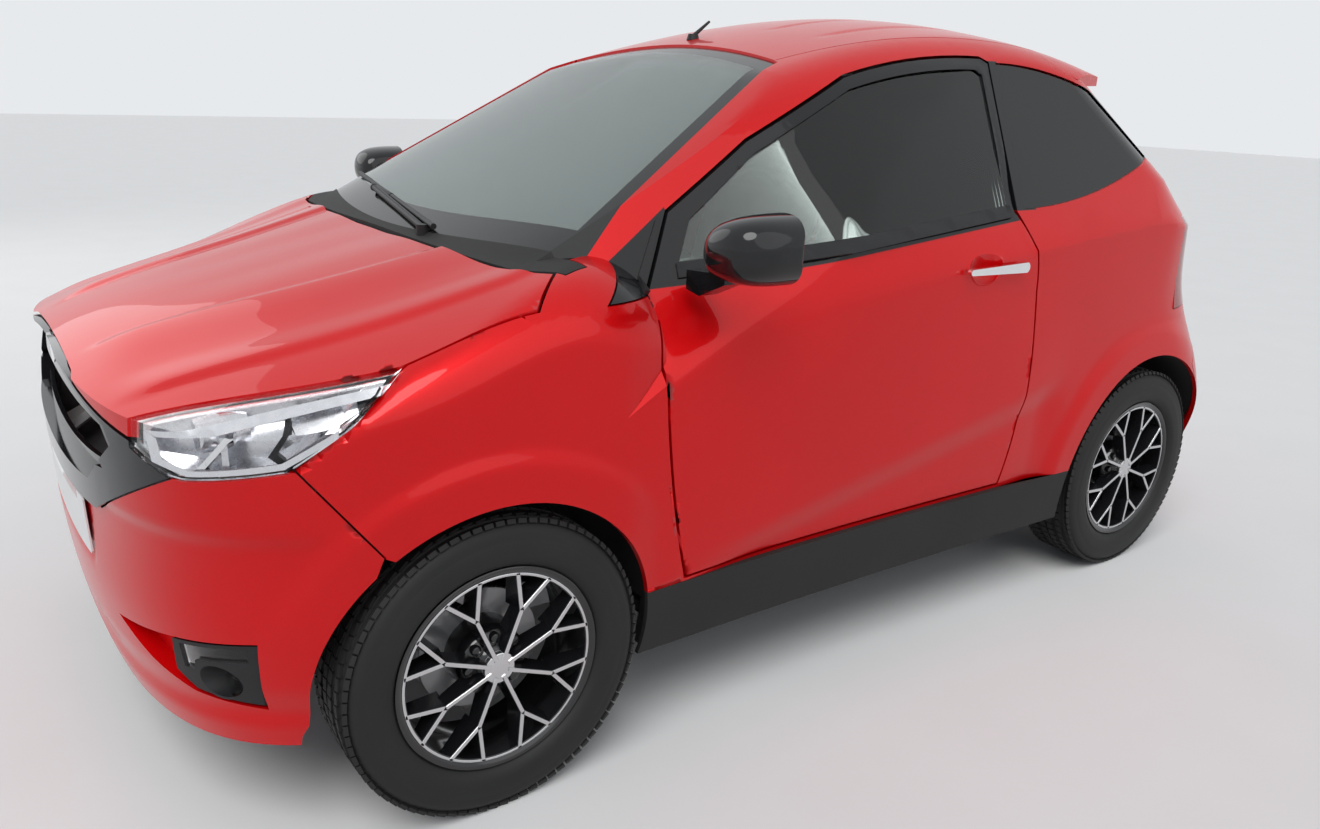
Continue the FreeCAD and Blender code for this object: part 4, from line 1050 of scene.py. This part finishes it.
def spoke_bar(bench, start, end):
    """A bar in the wheel's plane: 7 mm wide on its face, 20 mm wide where it is deepest."""
    run = Vector((end[0] - start[0], end[1] - start[1])).normalized()
    cross = Vector((-run.y, run.x))
    rings = []
    for spot, deep in ((start, 22), (end, 38)):
        ring = []
        half = SPOKE_PROFILE + [(10, deep)]
        for wide, out in half + [(-wide, out) for wide, out in reversed(half)]:
            ring.append(bench.verts.new((out, spot[0] + cross.x * wide, spot[1] + cross.y * wide)))
        rings.append(ring)
    for i in range(6):
        j = (i + 1) % 6
        bench.faces.new((rings[0][i], rings[0][j], rings[1][j], rings[1][i]))
    bench.faces.new(rings[0])
    bench.faces.new(list(reversed(rings[1])))


def spoke_mesh():
    bench = bmesh.new()
    for start, end in SPOKE_ARMS:
        spoke_bar(bench, start, end)
    arm_geometry = list(bench.verts) + list(bench.edges) + list(bench.faces)
    for count in range(1, SPOKE_COUNT):
        copy = bmesh.ops.duplicate(bench, geom=arm_geometry)["geom"]
        verts = [item for item in copy if isinstance(item, bmesh.types.BMVert)]
        turn = about_axle(360 / SPOKE_COUNT * count)
        bmesh.ops.rotate(bench, verts=verts, cent=(0, 0, 0), matrix=turn)
    bmesh.ops.rotate(bench, verts=bench.verts, cent=(0, 0, 0), matrix=about_axle(SPOKE_TURN))
    bmesh.ops.scale(bench, verts=bench.verts, vec=(0.001, 0.001, 0.001))
    bmesh.ops.recalc_face_normals(bench, faces=bench.faces)
    mesh = bpy.data.meshes.new("spokes")
    bench.to_mesh(mesh)
    bench.free()
    return mesh


print("spokes", SPOKE_COUNT)

# %% Assemble the four wheels
middle = Vector((0, 0, 0))
wheel_meshes = [spoke_mesh()]
for name, section, segments in (("barrel", BARREL, 192), ("hub", HUB, 96), ("cap", CAP, 64)):
    wheel_meshes.append(lathe(name, section, middle, segments))
for step in range(SPOKE_COUNT):
    turn = math.radians(360 / SPOKE_COUNT * step)
    spot = Vector((0, LUG_CIRCLE * math.cos(turn), LUG_CIRCLE * math.sin(turn)))
    wheel_meshes.append(lathe(f"lug_{step}", LUG, spot, 20))
for corner, (x, y, side) in WHEELS.items():
    centre = Vector((x, y - FRONT_AXLE, AXLE_HEIGHT / 1000))
    mesh = gathered(f"rim_{corner}_turned", wheel_meshes, centre, side)
    rim = adopt(f"rim_{corner}_finished", mesh, f"wheel_{corner}", "wheel_alloy")
    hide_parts(f"rim_{corner}")
print("rims", len(WHEELS))

# %% [markdown]
# ## Pieces that follow a panel
# A plate, a moulding or a lamp's border takes its outline from a table and its curve from
# the panel under it: every point is dropped on the CAD panel and lifted off it. A Shrinkwrap
# modifier could do that too, but it would pull the back face down with the front.

# %% A sheet laid on panels
NEAR_SIDE = 0.7


def panel_tree(*names):
    verts, polys = [], []
    for name in names:
        mesh = frame["nodes"][name].data
        start = len(verts)
        verts += [vert.co.copy() for vert in mesh.vertices]
        polys += [[start + index for index in polygon.vertices] for polygon in mesh.polygons]
    return BVHTree.FromPolygons(verts, polys)


def laid(name, outline, facing, nodes, lift, thick, spacing=0.012):
    """A thin sheet over panels; outline is in millimetres across the view along facing."""
    facing = Vector(facing).normalized()
    across = Vector((0, 1, 0)) if abs(facing.x) > 0.6 else Vector((1, 0, 0))
    across = (across - facing * across.dot(facing)).normalized()
    upward = Vector((0, 1, 0)) if abs(facing.z) > 0.9 else Vector((0, 0, 1))
    tree = panel_tree(*nodes)
    shift = FRONT_AXLE if abs(facing.x) > 0.6 else 0.0
    corners = [Vector((a / 1000 - shift, b / 1000)) for a, b in outline]
    if abs(facing.z) > 0.9:
        corners = [Vector((a / 1000, b / 1000 - FRONT_AXLE)) for a, b in outline]
    rim = []
    for i, corner in enumerate(corners):
        after = corners[(i + 1) % len(corners)]
        steps = max(1, int((after - corner).length / spacing))
        rim += [corner.lerp(after, step / steps) for step in range(steps)]
    low = Vector((min(c.x for c in rim), min(c.y for c in rim)))
    high = Vector((max(c.x for c in rim), max(c.y for c in rim)))
    inner = []
    for a in np.arange(low.x, high.x, spacing):
        for b in np.arange(low.y, high.y, spacing):
            spot = Vector((a, b))
            if min((spot - edge).length for edge in rim) > spacing * 0.55:
                inner.append(spot)
    made, _, triangles, _, _, _ = delaunay_2d_cdt(rim + inner, [], [list(range(len(rim)))], 1, 1e-7)
    bench = bmesh.new()
    fronts, backs = [], []
    for spot in made:
        start = across * spot[0] + upward * spot[1] + facing * RAY_START
        place, normal, _, _ = tree.ray_cast(start, -facing, RAY_LENGTH)
        if place is None:
            place, normal, _, _ = tree.find_nearest(start - facing * (RAY_START - NEAR_SIDE))
        fronts.append(bench.verts.new(place + normal * lift / 1000))
        backs.append(bench.verts.new(place + normal * (lift - thick) / 1000))
    rims = {}
    for loop in triangles:
        bench.faces.new([fronts[i] for i in loop])
        bench.faces.new([backs[i] for i in reversed(loop)])
        for i, j in zip(loop, loop[1:] + loop[:1]):
            rims[(i, j)] = rims.get((i, j), 0) + 1
    for i, j in rims:
        if (j, i) not in rims:
            bench.faces.new((fronts[j], fronts[i], backs[i], backs[j]))
    bmesh.ops.recalc_face_normals(bench, faces=bench.faces)
    shade(bench, 40)
    mesh = bpy.data.meshes.new(name)
    bench.to_mesh(mesh)
    bench.free()
    return mesh


def other_side(mesh, name):
    """The mirror image of a mesh across the car's middle plane."""
    turned = mesh.copy()
    turned.name = name
    turned.transform(Matrix.Diagonal((-1, 1, 1, 1)))
    turned.flip_normals()
    return turned


print("sheets can be laid on panels")

# %% [markdown]
# ## Seats
# Each seat starts as its CAD solid, drawn in a little and remade of small squares. Cloth
# with pressure swells it into padding; the cushion and back then get sewn channels.

# %% The seat as an even closed mesh
VOXEL = 0.011
SWELL = 0.010


def seat_form():
    """The left seat's solid as an even closed mesh, a little smaller than its CAD shape."""
    bench = bmesh.new()
    bench.from_mesh(frame["nodes"]["seats"].data)
    bmesh.ops.remove_doubles(bench, verts=bench.verts, dist=MERGE_DISTANCE)
    bmesh.ops.delete(bench, geom=[vert for vert in bench.verts if vert.co.x < 0], context="VERTS")
    mesh = bpy.data.meshes.new("seat_form")
    bench.to_mesh(mesh)
    bench.free()
    holder = bpy.data.objects.new("seat_form", mesh)
    bpy.context.scene.collection.objects.link(holder)
    remesh = holder.modifiers.new("squares", "REMESH")
    remesh.mode = "VOXEL"
    remesh.voxel_size = VOXEL
    smooth = holder.modifiers.new("soften", "SMOOTH")
    smooth.factor = 0.6
    smooth.iterations = 6
    bpy.context.view_layer.update()
    made = evaluated_mesh(holder)
    bpy.data.objects.remove(holder)
    return made


print("seat squares", VOXEL)


# %% Padding by cloth with pressure
def swollen(mesh, most):
    """The mesh after twenty frames of cloth under pressure, no point further than most."""
    holder = bpy.data.objects.new("seat_pad", mesh)
    bpy.context.scene.collection.objects.link(holder)
    before = np.array([vert.co for vert in mesh.vertices])
    cloth = holder.modifiers.new("pad", "CLOTH")
    cloth.settings.use_pressure = True
    cloth.settings.uniform_pressure_force = 4.0
    cloth.settings.effector_weights.gravity = 0.0
    cloth.settings.quality = 4
    cloth.settings.tension_stiffness = 20
    cloth.settings.mass = 0.4
    scene = bpy.context.scene
    for number in range(1, 21):
        scene.frame_set(number)
    result = holder.evaluated_get(bpy.context.evaluated_depsgraph_get()).to_mesh()
    after = np.array([vert.co for vert in result.vertices])
    moved = after - before
    length = np.linalg.norm(moved, axis=1, keepdims=True)
    moved *= np.minimum(1, most / np.maximum(length, 1e-9))
    mesh.vertices.foreach_set("co", (before + moved).ravel())
    bpy.data.objects.remove(holder)
    scene.frame_set(1)
    return mesh


print("no point swells past", SWELL)


# %% Sewn channels, and both seats in place
SEAT_MIDDLE = 255
PIPING_LINE = 140
CHANNEL_GAP = 92


def sewn(mesh):
    """Channels across the cushion and the back, and a piping line along the sides."""
    mesh.update()
    for vert in mesh.vertices:
        x = abs(vert.co.x) * 1000 - SEAT_MIDDLE
        y = (vert.co.y + FRONT_AXLE) * 1000
        z = vert.co.z * 1000
        bolster = math.exp(-(((abs(x) - PIPING_LINE) / 9) ** 2))
        run = y if z < 460 else z
        off = run % CHANNEL_GAP - CHANNEL_GAP / 2
        channel = math.exp(-((off / 7) ** 2)) if abs(x) < 132 else 0.0
        vert.co -= vert.normal * (0.006 * bolster + 0.005 * channel) * (1.0 if z < 980 else 0.0)
    return mesh


seat_mesh = seat_form()
seat_mesh = swollen(seat_mesh, SWELL)
seat_mesh = sewn(seat_mesh)
for side in ("left", "right"):
    mesh = seat_mesh if side == "left" else other_side(seat_mesh, "seat_right_pad")
    for polygon in mesh.polygons:
        polygon.use_smooth = True
    seat = adopt(f"seat_{side}", mesh, "body", "seat_cloth")
    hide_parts("seats")
print("seats", len(seat_mesh.vertices))

# %% [markdown]
# ## Mouldings, lamp details, badge and plate
# The belt moulding seals the foot of the door's window. Inside each headlamp, a bright
# border, a bright strip, a dark fin and a dark outer chamber part the reflectors. They are
# narrow and follow curved panels, so each is an outline over the side view, laid on them.
# The badge and the plate are bare.

# %% Mouldings, lamp details, badge and plate
BELT = [(398, 912), (1296, 988), (1292, 1012), (402, 936)]
SAIL_BLADE = [(300, 876), (322, 880), (400, 1014), (390, 1008)]
LAMP_BORDER = [(-474, 735), (-146, 806), (-218, 758), (-321, 695), (-436, 676), (-471, 689), (-474, 733),
               (-463, 727), (-460, 696), (-432, 685), (-324, 704), (-226, 763), (-180, 789), (-463, 728.5)]
LAMP_STRIP = [(-383, 751), (-372, 754), (-420, 686), (-430, 684)]
LAMP_FIN = [(-308, 764), (-300, 766), (-330, 716), (-312, 696), (-322, 694), (-342, 712)]
LAMP_CHAMBER = [(-212, 785), (-170, 792), (-196, 772), (-216, 764)]
SIDE_TRIM = [
    # name, outline, panels under it, lift and thickness in mm, what carries it, slot
    ("belt_moulding", BELT, ["door_left", "door_glass_left"], 4.0, 5.0, "door_", "black_satin"),
    ("sail_blade", SAIL_BLADE, ["side_frames", "sail_panels"], 7.0, 8.0, "body", "black_satin"),
    ("lamp_border", LAMP_BORDER, ["headlamp_lenses"], 0.5, 0.4, "body", "lamp_reflector"),
    ("lamp_strip", LAMP_STRIP, ["headlamp_lenses"], -5.5, 12.0, "body", "chrome_trim"),
    ("lamp_fin", LAMP_FIN, ["headlamp_lenses"], -5.5, 12.0, "body", "black_satin"),
    ("lamp_chamber", LAMP_CHAMBER, ["headlamp_lenses"], -5.5, 4.0, "body", "black_satin"),
]
for side, mirror in (("left", False), ("right", True)):
    for label, table, nodes, lift, thick, carrier, slot_name in SIDE_TRIM:
        mesh = laid(f"{label}_{side}", table, (1, 0, 0), nodes, lift, thick)
        mesh = other_side(mesh, f"{label}_right") if mirror else mesh
        adopt(f"{label}_{side}", mesh, carrier + side if carrier == "door_" else carrier, slot_name)


def plate_finish():
    bench = Finish("blank_plate")
    grain = bench.noise(40, 2)
    return bench.surface(
        Base_Color=bench.blend(grain, colour(0.70, 0.70, 0.70), colour(0.78, 0.78, 0.78)),
        Roughness=grain * 0.1 + 0.3,
    )


PLATE = [(-255, 438), (255, 438), (262, 444), (262, 540), (255, 546), (-255, 546), (-262, 540), (-262, 444)]
plate_white = plate_finish()
front_plate = laid("front_plate", PLATE, (0, -1, 0), ["front_bumper"], -1.0, 3.0, 0.03)
adopt("front_plate", front_plate, "body", "black_satin", plate_white)
BADGE = [(36 * math.cos(math.radians(a)), 744 + 25 * math.sin(math.radians(a))) for a in range(0, 360, 15)]
adopt("badge", laid("badge", BADGE, (0, -1, 0), ["grille"], 4.0, 4.5, 0.008), "body", "chrome_trim")
print("mouldings, lamp details, badge and plate laid")

# %% [markdown]
# ## Studio
# A pale floor and a pale backdrop keep the eye on the car. Two broad suns light it evenly
# from the camera's side and a low disk fills the far one, at a level where a colour renders
# as it is written. Rays from the camera, mirrors and glass see the backdrop, and all others
# a dimmer sky, so the background stays pale with no more light on the car.

# %% Floor
def studio_floor():
    bench = Finish("studio_floor")
    grain = bench.noise(3, 3)
    material = bench.surface(
        Base_Color=bench.blend(grain, colour(0.70, 0.695, 0.69), colour(0.74, 0.735, 0.73)),
        Roughness=0.9,
    )
    mesh = bpy.data.meshes.new("studio_floor")
    reach = 30.0
    corners = [(-reach, -reach, 0), (reach, -reach, 0), (reach, reach, 0), (-reach, reach, 0)]
    mesh.from_pydata(corners, [], [(0, 1, 2, 3)])
    mesh.materials.append(material)
    floor = bpy.data.objects.new("studio_floor", mesh)
    bpy.context.scene.collection.objects.link(floor)


studio_floor()
print("floor laid")


# %% Sky and backdrop
def sky():
    world = bpy.data.worlds.new("studio_sky")
    bpy.context.scene.world = world
    world.use_nodes = True
    tree = world.node_tree
    tree.nodes.clear()
    out = tree.nodes.new("ShaderNodeOutputWorld")
    lighting = tree.nodes.new("ShaderNodeBackground")
    backdrop = tree.nodes.new("ShaderNodeBackground")
    lighting.inputs["Color"].default_value = (0.85, 0.92, 1.0, 1)
    lighting.inputs["Strength"].default_value = 0.38
    backdrop.inputs["Color"].default_value = (0.80, 0.82, 0.84, 1)
    backdrop.inputs["Strength"].default_value = 1.0
    path = tree.nodes.new("ShaderNodeLightPath")
    mix = tree.nodes.new("ShaderNodeMixShader")
    seen = path.outputs["Is Camera Ray"]
    for kind in ("Is Transmission Ray", "Is Glossy Ray"):
        either = tree.nodes.new("ShaderNodeMath")
        either.operation = "MAXIMUM"
        tree.links.new(seen, either.inputs[0])
        tree.links.new(path.outputs[kind], either.inputs[1])
        seen = either.outputs[0]
    tree.links.new(seen, mix.inputs[0])
    tree.links.new(lighting.outputs[0], mix.inputs[1])
    tree.links.new(backdrop.outputs[0], mix.inputs[2])
    tree.links.new(mix.outputs[0], out.inputs["Surface"])


sky()
print("sky set")


# %% Lamps
def soft_light(name, place, target, size, watts):
    lamp = bpy.data.lights.new(name, "AREA")
    lamp.shape = "DISK"
    lamp.size = size
    lamp.energy = watts
    holder = bpy.data.objects.new(name, lamp)
    bpy.context.scene.collection.objects.link(holder)
    holder.location = place
    aim = Vector(target) - Vector(place)
    holder.rotation_euler = aim.to_track_quat("-Z", "Y").to_euler()


def sun_light(name, origin, width, strength):
    """A broad even light from one direction, the same over the whole floor."""
    lamp = bpy.data.lights.new(name, "SUN")
    lamp.angle = math.radians(width)
    lamp.energy = strength
    holder = bpy.data.objects.new(name, lamp)
    bpy.context.scene.collection.objects.link(holder)
    holder.rotation_euler = (-Vector(origin)).to_track_quat("-Z", "Y").to_euler()


sun_light("key_light", (3.0, -3.5, 6.5), 38, 1.9)
sun_light("side_light", (6.0, 1.0, 4.0), 60, 0.5)
soft_light("fill_light", (-5.5, -3.0, 4.0), (0, 0, 0.6), 5.0, 60)

# %% [markdown]
# ## Camera
# The place, the turns and the focal length were solved from the photograph by the two near
# wheels, so the render can be laid over it. The lens is given in millimetres for a sensor
# 36 mm wide, and a small shift stands for the crop.

# %% Camera
CAMERA_PLACE = (2.1142, -1.5937, 1.2373)
CAMERA_YAW = math.radians(53.944)
CAMERA_PITCH = math.radians(18.080)
CAMERA_ROLL = math.radians(2.112)
FOCAL_PIXELS = 1019.12
PHOTO_WIDTH = 1320
VERTICAL_SHIFT = 5.57


def photo_camera():
    data = bpy.data.cameras.new("photo_camera")
    data.sensor_fit = "HORIZONTAL"
    data.sensor_width = 36.0
    data.lens = FOCAL_PIXELS / PHOTO_WIDTH * data.sensor_width
    data.shift_y = VERTICAL_SHIFT / PHOTO_WIDTH
    camera = bpy.data.objects.new("photo_camera", data)
    bpy.context.scene.collection.objects.link(camera)
    back = Vector((
        math.sin(CAMERA_YAW) * math.cos(CAMERA_PITCH),
        -math.cos(CAMERA_YAW) * math.cos(CAMERA_PITCH),
        math.sin(CAMERA_PITCH),
    ))
    right = Vector((math.cos(CAMERA_YAW), math.sin(CAMERA_YAW), 0.0))
    up = back.cross(right)
    across = right * math.cos(CAMERA_ROLL) + up * math.sin(CAMERA_ROLL)
    upright = up * math.cos(CAMERA_ROLL) - right * math.sin(CAMERA_ROLL)
    turn = Matrix((across, upright, back)).transposed()
    camera.matrix_world = Matrix.Translation(CAMERA_PLACE) @ turn.to_4x4()
    bpy.context.scene.camera = camera


photo_camera()
bpy.context.scene.view_settings.view_transform = "Standard"
print("camera ready")
